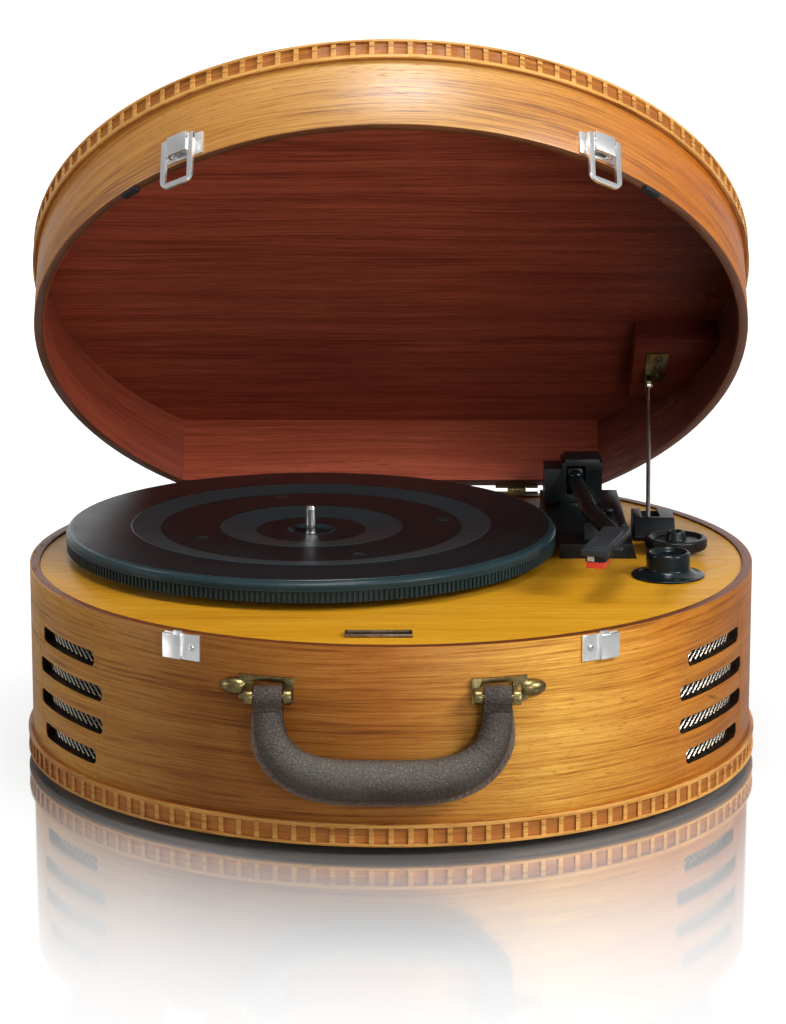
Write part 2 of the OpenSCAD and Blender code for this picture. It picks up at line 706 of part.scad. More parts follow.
motor_plate_t = 2;
pulley_shaft_r = 1;
module motor() color(steel) placed() translate([motor_at.x, motor_at.y, 0]) difference() {
    union() {
        rod_z([0, 0, deck_low - motor_plate_t - motor_h], motor_r, motor_h);
        rod_z([0, 0, deck_low - motor_plate_t], motor_r + 8, motor_plate_t);
    }
    rod_z([0, 0, deck_low - motor_plate_t - motor_h / 2], pulley_shaft_r + run_fit, motor_h);
}
pulley_low = deck_z + 1;
pulley_top = platter_top - plate_t - platter_step - 2;
module motor_pulley() color(bronze) placed() translate([motor_at.x, motor_at.y, 0]) {
    shaft_low = deck_low - motor_plate_t - motor_h / 2 + 1;
    rod_z([0, 0, shaft_low], pulley_shaft_r, pulley_top - 1 - shaft_low);
    rod_z([0, 0, pulley_low], pulley_r, pulley_top - pulley_low);
}
// The belt runs round the ring under the platter and the pulley, clear of both
belt_t = 0.8;
belt_w = 4;
belt_clear = 0.3;
belt_lean = asin((belt_ring_r - pulley_r) / motor_reach);
function belt_line(grow) = concat(
    [for (i = [0:24]) let (a = 90 - belt_lean + i * (180 + 2 * belt_lean) / 24)
        on_round(belt_ring_r + grow, a)],
    [for (i = [0:8]) let (a = -90 + belt_lean + i * (180 - 2 * belt_lean) / 8)
        [motor_reach, 0] + on_round(pulley_r + grow, a)]
);
// A polygon's corners keep outside the circle that they follow
belt_swell = 1 / cos(180 / 24 * (180 + 2 * belt_lean) / 360);
belt_z = pulley_low + (pulley_top - pulley_low - belt_w) / 2;
module drive_belt() color(black) placed() translate([platter_at.x, platter_at.y, belt_z])
    rotate([0, 0, motor_turn]) linear_extrude(belt_w) difference() {
        polygon(belt_line(belt_clear + belt_t + (belt_swell - 1) * belt_ring_r));
        polygon(belt_line(belt_clear + (belt_swell - 1) * belt_ring_r));
    }

// Platter: stepped plate, rim with teeth on its lower half, belt ring and hub
step_one = [109, 92];
step_two = [55, 34];
cup_r = 14;
rim_t = 4;
hub_r = 12;
hub_low = deck_z + bush_flange + gap;
tooth_turn = 360 / teeth;
tooth_tip = platter_r - 0.3;
tooth_outline = [for (i = [0:teeth - 1]) each [
    on_round(tooth_tip - tooth_depth, i * tooth_turn),
    on_round(tooth_tip - tooth_depth, (i + 0.45) * tooth_turn),
    on_round(tooth_tip, (i + 0.45) * tooth_turn),
    on_round(tooth_tip, (i + 1) * tooth_turn)
]];
module platter() color(black) placed() translate([platter_at.x, platter_at.y, 0]) {
    top = platter_top;
    low1 = top - platter_step;
    low2 = top - 2 * platter_step;
    difference() {
        rotate_extrude() polygon([
            [hub_r, hub_low], [hub_r, low2 - plate_t], [step_two[1], low2 - plate_t],
            [step_two[0], low1 - plate_t], [belt_ring_r - 3, low1 - plate_t], [belt_ring_r - 3, belt_z - 1],
            [belt_ring_r, belt_z - 1], [belt_ring_r, low1 - plate_t], [step_one[1], low1 - plate_t],
            [step_one[0], top - plate_t], [platter_r - rim_t, top - plate_t],
            [platter_r - rim_t, platter_low + tooth_h], [platter_r, platter_low + tooth_h],
            [platter_r, top - 2.5], [platter_r - 2, top - 0.5], [platter_r - 5, top], [step_one[0], top],
            [step_one[1], low1], [step_two[0], low1], [step_two[1], low2], [cup_r, low2],
            [cup_r - 3, cup_z], [bearing_r + run_fit, cup_z], [bearing_r + run_fit, hub_low]
        ]);
    }
    translate([0, 0, platter_low]) linear_extrude(tooth_h) difference() {
        polygon(tooth_outline);
        circle(r = platter_r - rim_t);
    }
}

// Electronics

board_t = 1.6;
board_w = 86;
board_d = 52;
board_y = inner_y - board_d - 4;
boss_h = 6;
module amplifier_board() color("#2f6b3c") placed() translate([0, board_y, floor_top]) {
    block([-board_w / 2, 0, boss_h], [board_w / 2, board_d, boss_h + board_t]);
    for (x = [-1, 1], y = [6, board_d - 6]) rod_z([x * (board_w / 2 - 6), y, 0], 3.5, boss_h);
    for (x = [-24, -8, 8]) rod_z([x, 16, boss_h + board_t], 6, 14);
    block([16, 8, boss_h + board_t], [38, 20, boss_h + board_t + 18]);
}
socket_r = 4.2;
socket_x = [14, 30];
inlet_x = -26;
socket_z = jack_z + jack_h / 2;
jack_t = 2;
module jack_panel() color(black) placed() difference() {
    block([-jack_w / 2, flat_y, jack_z], [jack_w / 2, flat_y + jack_t, jack_z + jack_h]);
    for (x = socket_x) rod_y([x, flat_y - past, socket_z], socket_r, jack_t + 2 * past);
    rod_y([inlet_x, flat_y - past, socket_z], socket_r, jack_t + 2 * past);
    for (x = [-1, 1]) rod_y([x * panel_screw_x, flat_y - past, socket_z], panel_screw_r, jack_t + 2 * past);
}
inlet_depth = 10;
module rear_sockets() color(steel) placed() {
    for (x = socket_x) {
        rod_y([x, flat_y - 14, socket_z], socket_r, 14 + jack_t);
        rod_y([x, flat_y + jack_t, socket_z], socket_r - 0.6, 7);
        rod_y([x, flat_y - 4, socket_z], socket_r + 2, 4);
    }
    difference() {
        union() {
            rod_y([inlet_x, flat_y - 14, socket_z], socket_r, 14 + jack_t);
            rod_y([inlet_x, flat_y - 4, socket_z], socket_r + 2, 4);
        }
        rod_y([inlet_x, flat_y + jack_t - inlet_depth, socket_z], inlet_r, inlet_depth + past);
    }
}
pot_r = 8.5;
pot_h = 10;
module volume_pot() color(steel) placed() translate([knob_at.x, knob_at.y, 0]) difference() {
    union() {
        rod_z([0, 0, deck_low - pot_h], pot_r, pot_h);
        rod_z([0, 0, deck_low], pot_bush_r, deck_t);
    }
    rod_z([0, 0, deck_low - pot_h / 2], knob_shaft_r + run_fit, deck_t + pot_h);
}

adapter_post_r = 3.5;
adapter_seat = deck_z + 3;
module adapter_post() color(black) placed() translate([adapter_at.x, adapter_at.y, 0]) {
    rod_z([0, 0, deck_low], adapter_post_r, adapter_seat + adapter_t - 1 - deck_low);
    rod_z([0, 0, deck_z], adapter_post_r + 5, adapter_seat - deck_z);
}

// Fasteners

screw_r = 2.6;
panel_screw_r = 1.6;
catch_screw_x = catch_pad_w / 2 + latch_flange / 2 - catch_off;
catch_screw_y = -sqrt(pow(case_r + latch_t, 2) - pow(catch_screw_x, 2)) - 0.1;
// A round-headed screw's head, flat side at the origin, pointing up
module screw_head(r) rotate_extrude() polygon([
    [0, 0], [r, 0], [r * 0.9, r * 0.28], [r * 0.6, r * 0.5], [0, r * 0.58]
]);
module case_screws() color(steel) placed() {
    for (x = [-1, 1]) translate([x * panel_screw_x, flat_y + jack_t, socket_z]) rotate([-90, 0, 0]) {
        screw_head(panel_screw_r * 1.7);
        rod_z([0, 0, -jack_t - 5], panel_screw_r, jack_t + 5);
    }
    for (side = [-1, 1]) latch_side(side)
        translate([-catch_screw_x, catch_screw_y, catch_top - catch_h / 2])
            rotate([90, 0, 0]) screw_head(1.9);
    both_sides() for (x = [-1, 1])
        translate([hinge_x + x * (leaf_w / 2 - 5), flat_y + leaf_t, hinge_z - leaf_h / 2 - 2])
            rotate([-90, 0, 0]) screw_head(screw_r);
}

// Lid, drawn shut

module lid_wall() color(wood_outside) opened() bent_wall(lid_z, lid_h - lip_h);
module lid_rear_wall() color(wood_outside) opened() rear_board(lid_z, lid_h - lip_h);
module lid_top_panel() color(wood_inside) opened()
    flat_round(inner_r - wood_fit, inner_y - wood_fit, panel_z, lid_panel_t);
module lid_trim() color(wood_outside) opened() trim_ring(lid_z + lid_h - trim_h, false);
bumper_turn = 44;
bumper_l = 12;
bumper_w = 4.6;
module lid_bumpers() color(black) opened() for (side = [-1, 1]) round_to(side * bumper_turn)
    translate([0, -case_r + side_wall / 2, 0])
        block([-bumper_l / 2, -bumper_w / 2, lid_z - lid_gap + gap], [bumper_l / 2, bumper_w / 2, lid_z]);
module hinge_lid_leaves() color(bronze) opened() both_sides() translate([hinge_x, 0, 0]) hinge_leaf(true);

block_x = stay_pivot.x - 11;
block_y0 = stay_pivot.y - 43;
block_y1 = stay_pivot.y + 22;
block_z = lid_z + block_h;
module stay_block() color(wood_inside) opened() intersection() {
    rod_z([0, 0, block_z], inner_r - wood_fit, panel_z - block_z);
    block([block_x, block_y0, block_z], [case_r, block_y1, panel_z]);
}
stay_plate_t = 1.2;
stay_plate_w = 14;
stay_plate_y0 = stay_pivot.y - 29;
stay_eye_t = 2.4;
stay_eye_r = 3.2;
flange_x = stay_pivot.x - stay_r - 2 * gap - stay_plate_t;
stay_pin_end = stay_pivot.x + stay_eye_t / 2 + gap;
module stay_bracket() color(bronze) opened() {
    block([flange_x, stay_plate_y0, block_z - stay_plate_t],
        [flange_x + stay_plate_w, stay_pivot_y + 4, block_z]);
    block([flange_x, stay_pivot.y - 9, stay_pivot.z - 3],
        [flange_x + stay_plate_t, stay_pivot.y + 4, block_z]);
    rod_x([flange_x, stay_pivot.y, stay_pivot.z], stay_pin_r, stay_pin_end - flange_x);
    rod_x([stay_pin_end, stay_pivot.y, stay_pivot.z], stay_pin_r + 0.8, 0.8);
}
module stay_rod() color(steel) placed() {
    difference() {
        union() {
            rod_x(stay_pivot_open - [stay_eye_t / 2, 0, 0], stay_eye_r, stay_eye_t);
            link(stay_pivot_open, stay_guide_at + stay_dir * stay_tail, stay_r);
        }
        rod_x(stay_pivot_open - [stay_eye_t, 0, 0], stay_pin_r + run_fit, 2 * stay_eye_t);
    }
}

// Latches, drawn at the front of the round with the lid shut
latch_face = case_r + latch_t;
lever_low = lid_z + 1.2;
lever_pin_z = lever_low + 2.4;
lever_pin_y = -(latch_face + 3.2);
loop_pin_z = lever_low + lever_h * 0.62;
loop_pin_y = -(latch_face + 4.6);
lever_face = latch_face + 6.4;
lever_ear_t = 1.2;
lever_ear_r = 1.7;
lever_back = 1.6; // room behind the lever for its lower edge to turn in
loop_t = 2;
base_past = 2.3;    // how far the lid's plate shows past the loop, on the handle's side
base_reach = loop_w / 2 + base_past;
module at_latch(side) opened() round_to(side * latch_turn) children();
module latch_bases() color(chrome) for (side = [-1, 1]) at_latch(side) difference() {
    union() {
        latch_plate(side > 0 ? -base_reach : -latch_w / 2, side > 0 ? latch_w / 2 : base_reach,
            lid_z + 0.6, lever_h + 2);
        for (s = [-1, 1]) {
            x = s * (lever_w / 2 - 2.4) - lever_ear_t / 2;
            rod_x([x, lever_pin_y, lever_pin_z], lever_ear_r, lever_ear_t);
            // Less below the pin, where the lever's lower edge turns in
            block([x, lever_pin_y, lever_pin_z - 0.6 * lever_ear_r],
                [x + lever_ear_t, -case_r - latch_t / 2, lever_pin_z + lever_ear_r]);
        }
    }
    rod_x([-latch_w, lever_pin_y, lever_pin_z], latch_pin_r + run_fit, 2 * latch_w);
}
lever_skin = 1.4;
module latch_lever(side) color(chrome) at_latch(side) {
    difference() {
        block([-lever_w / 2, -lever_face, lever_low],
            [lever_w / 2, -latch_face - lever_back, lever_low + lever_h]);
        block([-lever_w / 2 + lever_skin, -lever_face + lever_skin, lever_low - past],
            [lever_w / 2 - lever_skin, 0, lever_low + lever_h - lever_skin]);
    }
    rod_x([-lever_w / 2, lever_pin_y, lever_pin_z], latch_pin_r, lever_w);
    rod_x([-loop_w / 2, loop_pin_y, loop_pin_z], latch_pin_r, loop_w);
}
loop_low = lid_z - loop_reach;
loop_top = loop_pin_z + 3.5;
loop_corner = 6;
module latch_loop(side) color(chrome) at_latch(side) difference() {
    union() {
        block([-loop_w / 2, loop_pin_y - loop_t / 2, loop_low + loop_corner],
            [loop_w / 2, loop_pin_y + loop_t / 2, loop_top]);
        block([-loop_w / 2 + loop_corner, loop_pin_y - loop_t / 2, loop_low],
            [loop_w / 2 - loop_corner, loop_pin_y + loop_t / 2, loop_low + loop_corner]);
        for (s = [-1, 1])
            rod_y([s * (loop_w / 2 - loop_corner), loop_pin_y - loop_t / 2, loop_low + loop_corner],
                loop_corner, loop_t);
    }
    block([-loop_w / 2 + loop_bar, loop_pin_y - loop_t, loop_low + loop_bar],
        [loop_w / 2 - loop_bar, loop_pin_y + loop_t, loop_top + past]);
    rod_x([-loop_w, loop_pin_y, loop_pin_z], latch_pin_r + run_fit, 2 * loop_w);
}
module latch_lever_left() latch_lever(-1);
module latch_lever_right() latch_lever(1);
module latch_loop_left() latch_loop(-1);
module latch_loop_right() latch_loop(1);

module lid_screws() color(steel) opened() {
    for (i = [0:2])
        translate([flange_x + stay_plate_w / 2 + 1, stay_plate_y0 + 6 + i * 9, block_z - stay_plate_t])
            rotate([180, 0, 0]) screw_head(2.2);
    both_sides() for (x = [-1, 1])
        translate([hinge_x + x * (leaf_w / 2 - 5), flat_y + leaf_t, hinge_z + leaf_h / 2 + 2])
            rotate([-90, 0, 0]) screw_head(screw_r);
}

// Tonearm

plinth_top = rim_z + plinth_h;
plinth_x0 = arm_at.x - 21;
plinth_x1 = arm_at.x + 32;
plinth_y0 = arm_at.y - 120;
plinth_y1 = arm_at.y + 34;
plinth_slope = 3;
arm_z = rim_z + arm_h;
turret_r = 15;
post_r = 3;
bend_at = [arm_at.x + 4, arm_at.y - 95, arm_z];
head_at = [arm_at.x + 16.4, arm_at.y - 174, arm_z];
rest_y = arm_at.y - 104;
rest_x = bend_at.x + (head_at.x - bend_at.x) * (bend_at.y - rest_y) / (bend_at.y - head_at.y);
// How far the slanted tube drifts sideways over half of the rest
rest_drift = 3 * abs(head_at.x - bend_at.x) / (bend_at.y - head_at.y) + 0.1;
module arm_plinth() color(black) placed() difference() {
    union() {
        translate([0, plinth_y0, 0]) rotate([-90, 0, 0]) linear_extrude(plinth_y1 - plinth_y0) polygon([
            [plinth_x0, -deck_z], [plinth_x1, -deck_z], [plinth_x1 - plinth_slope, -plinth_top],
            [plinth_x0, -plinth_top]
        ]);
        rod_z([arm_at.x, arm_at.y, plinth_top - past], turret_r, past + 2);
        block([rest_x - 5, rest_y - 3, plinth_top - past], [rest_x + 5, rest_y + 3, arm_z - arm_r - gap]);
        block([rest_x + arm_r + rest_drift + gap, rest_y - 3, plinth_top - past],
            [rest_x + arm_r + rest_drift + gap + 2, rest_y + 3, arm_z + 1]);
    }
    rod_z([platter_at.x, platter_at.y, deck_z - past], platter_r + 3, plinth_h + 10);
    rod_z([arm_at.x, arm_at.y, deck_z - past], post_r, plinth_h + 10);
    block([switch_x - 2, switch_y - switch_travel - 3, plinth_top - 4],
        [switch_x + 2, switch_y + switch_travel + 3, plinth_top + past]);
    cue_ear_room();
}
module arm_pivot_post() color(steel) placed()
    rod_z([arm_at.x, arm_at.y, deck_z], post_r, arm_z - arm_root_h / 2 - 2 - deck_z);

yoke_low = plinth_top + 2 + gap;
yoke_left = 20;
yoke_right = 16;
yoke_front = 13;
arm_root_w = 10;
arm_root_h = 14;
arm_root_gap = 1;
cheek = arm_root_w / 2 + arm_root_gap;
trunnion_r = 1.5;
yoke_z = rim_z + yoke_top;
module arm_yoke() color(black) placed() translate([arm_at.x, arm_at.y, 0]) difference() {
    union() {
        block([-yoke_left, -yoke_front, yoke_low], [yoke_right, yoke_front, yoke_z - 6]);
        block([-cheek - 3, -yoke_front - 1, yoke_z - 7], [yoke_right + 1, yoke_front + 1, yoke_z - 2]);
        block([-cheek - 1, -yoke_front, yoke_z - 3], [yoke_right - 1, yoke_front, yoke_z]);
        for (i = [-1, 0, 1])
            block([yoke_right - past, i * 6 - 1.4, yoke_low + 4], [yoke_right + 1, i * 6 + 1.4, yoke_z - 6]);
    }
    // The arm's slot, open to the front and the back
    block([-cheek, -2 * yoke_front, arm_z - arm_root_h / 2 - 1.5],
        [cheek, 2 * yoke_front, arm_z + arm_root_h / 2 + 3]);
    rod_z([0, 0, yoke_low - past], post_r + run_fit, arm_z - arm_root_h / 2 - 1.5 - yoke_low + 2 * past);
    rod_x([-yoke_left - past, 0, arm_z], trunnion_r + run_fit, yoke_left + yoke_right + 4 * past);
}
module arm_tube() color(black) placed() {
    root = [arm_at.x, arm_at.y, arm_z];
    block(root - [arm_root_w / 2, 8, arm_root_h / 2], root + [arm_root_w / 2, 8, arm_root_h / 2]);
    rod_x(root - [cheek + 6, 0, 0], trunnion_r, 2 * cheek + 12);
    link(root - [0, 7, 0], root - [0, 18, 0], arm_r);
    link(root - [0, 18, 0], bend_at, arm_r);
    strut(bend_at, head_at, arm_r);
    rod_y(root, 3, 20);
}
weight_r = 9;
weight_l = 15;
module counterweight() color(black) placed() difference() {
    rod_y([arm_at.x, arm_at.y + yoke_front + 4, arm_z], weight_r, weight_l);
    rod_y([arm_at.x, arm_at.y, arm_z], 3, 20);
}
// The head is drawn along -Y from the end of the tube, then turned to the left
head_t = 4;
cartridge_h = 4.5;
cartridge_w = 12;
cartridge_l = 30;
stylus_w = 10.5;
stylus_l = 17;
stylus_low = needle_z + 1.4;
head_low = arm_z + arm_r - 1.5;
module at_head() placed() translate([head_at.x, head_at.y, 0]) rotate([0, 0, -head_turn]) children();
module headshell() color("#3a3d40") difference() {
    at_head() {
        block([-head_w / 2, -head_l, head_low], [head_w / 2, 0, head_low + head_t]);
        block([head_w / 2, -head_l + 8, head_low + head_t - 1.6],
            [head_w / 2 + 6, -head_l + 13, head_low + head_t]);
        block([-head_w / 2 + 1.5, -head_l + 1, head_low + head_t],
            [head_w / 2 - 1.5, -14, head_low + head_t + 1.6]);
    }
    placed() strut(bend_at, head_at, arm_r);
}
module cartridge() color(black) at_head()
    block([-cartridge_w / 2, -head_l + 2, stylus_low + 3.5],
        [cartridge_w / 2, -head_l + 2 + cartridge_l, head_low]);
module stylus() color("#d8402c") at_head() {
    block([-stylus_w / 2, -head_l + 1, stylus_low],
        [stylus_w / 2, -head_l + 1 + stylus_l, stylus_low + 3.5]);
    translate([0, -head_l + 3, needle_z]) cylinder(r1 = 0.15, r2 = 0.6, h = stylus_low - needle_z);
}

// The cue lever tips about a pin in two ears on the plinth's right edge
cue_y = arm_at.y - 28;
cue_x = plinth_x1 - 12;
cue_z = plinth_top - 2.4;
cue_w = 4;
cue_pin_r = 1.2;
cue_pin_l = 3;
cue_barrel_r = 3;
cue_tilt = 15;
cue_l = 17;
// The slot that the lever's barrel turns in, and the bores for its pin
module cue_ear_room() {
    block([cue_x - cue_w / 2 - gap, cue_y - cue_barrel_r - 2, cue_z - cue_barrel_r - gap],
        [cue_x + cue_w / 2 + gap, cue_y + cue_barrel_r + 1, plinth_top + past]);
    rod_x([cue_x - cue_w / 2 - cue_pin_l - gap, cue_y, cue_z], cue_pin_r + run_fit,
        cue_w + 2 * cue_pin_l + 2 * gap);
}
module cue_lever() color(black) placed() {
    rod_x([cue_x - cue_w / 2, cue_y, cue_z], cue_barrel_r, cue_w);
    rod_x([cue_x - cue_w / 2 - cue_pin_l, cue_y, cue_z], cue_pin_r, cue_w + 2 * cue_pin_l);
    translate([cue_x, cue_y, cue_z]) rotate([-cue_tilt, 0, 0])
        block([-cue_w / 2, -cue_l, 1], [cue_w / 2, 0, 3]);
}
switch_x = plinth_x1 - 6;
switch_y = arm_at.y - 82;
switch_travel = 4;
module speed_switch() color(black) placed()
    block([switch_x - 2 + gap, switch_y - 3, plinth_top - 4 + gap],
        [switch_x + 2 - gap, switch_y + 3, plinth_top + 5]);

// Controls

knob_low = deck_z + 0.4;
knob_dish = 2.5;
module volume_knob() color(black) placed() translate([knob_at.x, knob_at.y, knob_low]) {
    rotate_extrude() polygon([
        [0, 1], [knob_r - 3, 1], [skirt_r - 3, 0], [skirt_r, 0], [skirt_r, 0.9], [skirt_r - 5, 1.6],
        [knob_r + 1, 3.4], [knob_r, 4.5], [knob_r, knob_h - 1], [knob_r - 1, knob_h], [knob_r - 2, knob_h],
        [knob_r - 4, knob_h - knob_dish], [0, knob_h - knob_dish]
    ]);
    rod_z([0, 0, -deck_t - 3], knob_shaft_r, deck_t + 6);
}
module adapter_45() color(black) placed() translate([adapter_at.x, adapter_at.y, adapter_seat])
    rotate_extrude() polygon([
        [adapter_post_r + run_fit, 0], [adapter_r - 1, 0], [adapter_r, 1], [adapter_r, adapter_t - 1],
        [adapter_r - 1, adapter_t], [adapter_r - 3, adapter_t], [adapter_r - 5, adapter_t - 2],
        [6.5, adapter_t - 2], [5, adapter_t + 3.5], [adapter_post_r + run_fit, adapter_t + 3.5]
    ]);

// Handle

// The grip's middle line is a rounded U, bowed forwards to clear the round of the case
grip_steps = 36;
grip_sides = 16;
grip_power = 3.4;
grip_top = end_loop_r + 0.2;
leg_w = 17;
leg_t = 13;
function rounded(c) = sign(c) * pow(abs(c), 2 / grip_power);
grip_skip = asin(pow(grip_top / grip_drop, grip_power / 2));
function grip_turn(i) = -grip_skip + i * (2 * grip_skip - 180) / grip_steps;
function grip_mid(t) = [
    handle_half * rounded(cos(t)), (grip_y - handle_y) * pow(abs(sin(t)), 2), grip_drop * rounded(sin(t))
];
function grip_ring(t) = let (
        m = grip_mid(t), d = grip_mid(t - 0.5) - grip_mid(t + 0.5),
        flat = [d.x, 0, d.z] / norm([d.x, 0, d.z]),
        out = [-flat.z, 0, flat.x], s = pow(abs(sin(t)), 1.5),
        w = leg_w + (grip_h - leg_w) * s, k = leg_t + (grip_t - leg_t) * s
    ) [for (j = [0:grip_sides - 1]) let (a = j * 360 / grip_sides)
        m + out * (w / 2 * cos(a)) + [0, k / 2 * sin(a), 0]];
function grip_end(ring) = [for (p = ring) [p.x, p.y, -grip_top]];
grip_rings = [for (i = [0:grip_steps]) let (r = grip_ring(grip_turn(i)))
    i == 0 || i == grip_steps ? grip_end(r) : r];
grip_points = [for (r = grip_rings) each r];
grip_faces = concat(
    [for (i = [0:grip_steps - 1], j = [0:grip_sides - 1])
        let (k = (j + 1) % grip_sides, a = i * grip_sides, b = a + grip_sides)
        each [[a + j, a + k, b + k], [a + j, b + k, b + j]]],
    [for (j = [1:grip_sides - 2]) [0, j + 1, j]],
    [for (j = [1:grip_sides - 2]) let (e = grip_steps * grip_sides) [e, e + j, e + j + 1]]
);
module handle_grip() color(leather) placed() translate([handle_x, handle_y, handle_z])
    polyhedron(grip_points, grip_faces);
loop_half_t = 6;
module handle_end_loops() color(leather) placed() for (s = handle_sides)
    translate([handle_x + s * handle_half, handle_y, handle_z]) difference() {
        union() {
            rod_x([-end_loop_w / 2, 0, 0], end_loop_r, end_loop_w);
            block([-end_loop_w / 2, -loop_half_t, -grip_top], [end_loop_w / 2, loop_half_t, 0]);
        }
        rod_x([-end_loop_w, 0, 0], handle_pin_r + run_fit, 2 * end_loop_w);
    }

case_wall();
case_rear_wall();
base_trim();
bottom_panel();
feet();
deck_ledge();
deck_board();
badge_plate();
speaker_grilles();
speaker_baffles();
speaker_frames();
speaker_cones();
latch_catches();
handle_brackets();
handle_pins();
hinge_case_leaves();
hinge_pins();
stay_guide();
arm_plinth();
arm_pivot_post();
motor();
drive_belt();
bearing_bush();
spindle();
amplifier_board();
jack_panel();
rear_sockets();
volume_pot();
adapter_post();
case_screws();
lid_wall();
lid_rear_wall();
lid_top_panel();
lid_trim();
lid_bumpers();
hinge_lid_leaves();
stay_block();
stay_bracket();
latch_bases();
lid_screws();
stay_rod();
platter();
motor_pulley();
arm_yoke();
arm_tube();
headshell();
cartridge();
stylus();
counterweight();
cue_lever();
speed_switch();
volume_knob();
adapter_45();
latch_lever_left();
latch_lever_right();
latch_loop_left();
latch_loop_right();
handle_grip();
handle_end_loops();
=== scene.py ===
"""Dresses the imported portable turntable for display.

Each sub-assembly of the player is a class that holds its sizes in metres, shapes the pieces that the
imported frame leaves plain, and gives every piece its finish. A pale studio with soft lamps comes last.
"""

import json
import logging
import math
from contextlib import contextmanager
from dataclasses import dataclass
from enum import Enum
from functools import cache
from typing import Any, Callable, Iterator, Optional, Sequence, Union

import bmesh
import bpy
from mathutils import Matrix, Vector

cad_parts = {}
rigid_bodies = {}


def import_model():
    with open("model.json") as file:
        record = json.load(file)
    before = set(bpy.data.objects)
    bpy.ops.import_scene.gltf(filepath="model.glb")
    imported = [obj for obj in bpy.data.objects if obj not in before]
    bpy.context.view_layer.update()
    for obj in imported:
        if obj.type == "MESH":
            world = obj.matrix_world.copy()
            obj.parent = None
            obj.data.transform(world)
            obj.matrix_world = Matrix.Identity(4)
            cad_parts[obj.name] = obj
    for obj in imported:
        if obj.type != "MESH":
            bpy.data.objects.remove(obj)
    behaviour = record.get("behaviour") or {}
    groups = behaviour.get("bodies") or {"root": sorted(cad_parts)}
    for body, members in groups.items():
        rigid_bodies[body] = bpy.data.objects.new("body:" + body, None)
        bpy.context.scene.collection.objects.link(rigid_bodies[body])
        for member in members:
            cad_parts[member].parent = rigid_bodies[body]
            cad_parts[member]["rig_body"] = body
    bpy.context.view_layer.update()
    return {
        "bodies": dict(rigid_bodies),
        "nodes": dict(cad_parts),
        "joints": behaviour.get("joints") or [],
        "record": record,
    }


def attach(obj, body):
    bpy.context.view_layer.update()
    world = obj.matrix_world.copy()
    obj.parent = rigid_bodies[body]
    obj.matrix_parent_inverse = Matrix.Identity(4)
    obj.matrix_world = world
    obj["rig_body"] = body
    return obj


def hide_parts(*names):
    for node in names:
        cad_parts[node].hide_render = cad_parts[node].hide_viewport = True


LOG = logging.getLogger("turntable")
Pair = tuple[float, float]
Colour = tuple[float, float, float]
Point = tuple[float, float, float]
Stops = tuple[tuple[float, Colour], ...]
Piece = bpy.types.Object
Material = bpy.types.Material
Socket = bpy.types.NodeSocket
Wire = Union[Socket, float, Sequence[float]]


@dataclass(frozen=True)
class Plan:
    """Sizes and places that the sub-assemblies share, counted from the middle of the round case."""

    case_r: float = 0.220
    flat_y: float = 0.172
    side_wall: float = 0.006
    rear_wall: float = 0.0075
    trim_proud: float = 0.0026
    shift_y: float = 0.0133666
    rim_z: float = 0.1205
    lid_top: float = 0.1787
    lid_panel: float = 0.009
    hinge_y: float = 0.1754
    hinge_z: float = 0.12175
    lid_open: float = math.radians(43.8)

    def row(self, x: float, y: float, z: float) -> Vector:
        """Gives a point of the case in the frame of the finished part."""
        return Vector((x, y + self.shift_y, z))

    def mapping(self, lid: bool) -> tuple[Vector, Point]:
        """Finds how to bring a point back to the shut player, about the middle of the case.

        Args:
            lid: Whether the point belongs to the open lid.

        Returns:
            The location and rotation for a Mapping node.
        """
        if not lid:
            return Vector((0.0, -self.shift_y, 0.0)), (0.0, 0.0, 0.0)
        turn = Matrix.Rotation(self.lid_open, 3, "X")
        hinge = Vector((0.0, self.hinge_y, self.hinge_z))
        return hinge - turn @ self.row(*hinge), (self.lid_open, 0.0, 0.0)


PLAN = Plan()


def signed_power(value: float, power: float) -> float:
    """Raises a value's size to a power and keeps its sign."""
    return math.copysign(abs(value) ** power, value)


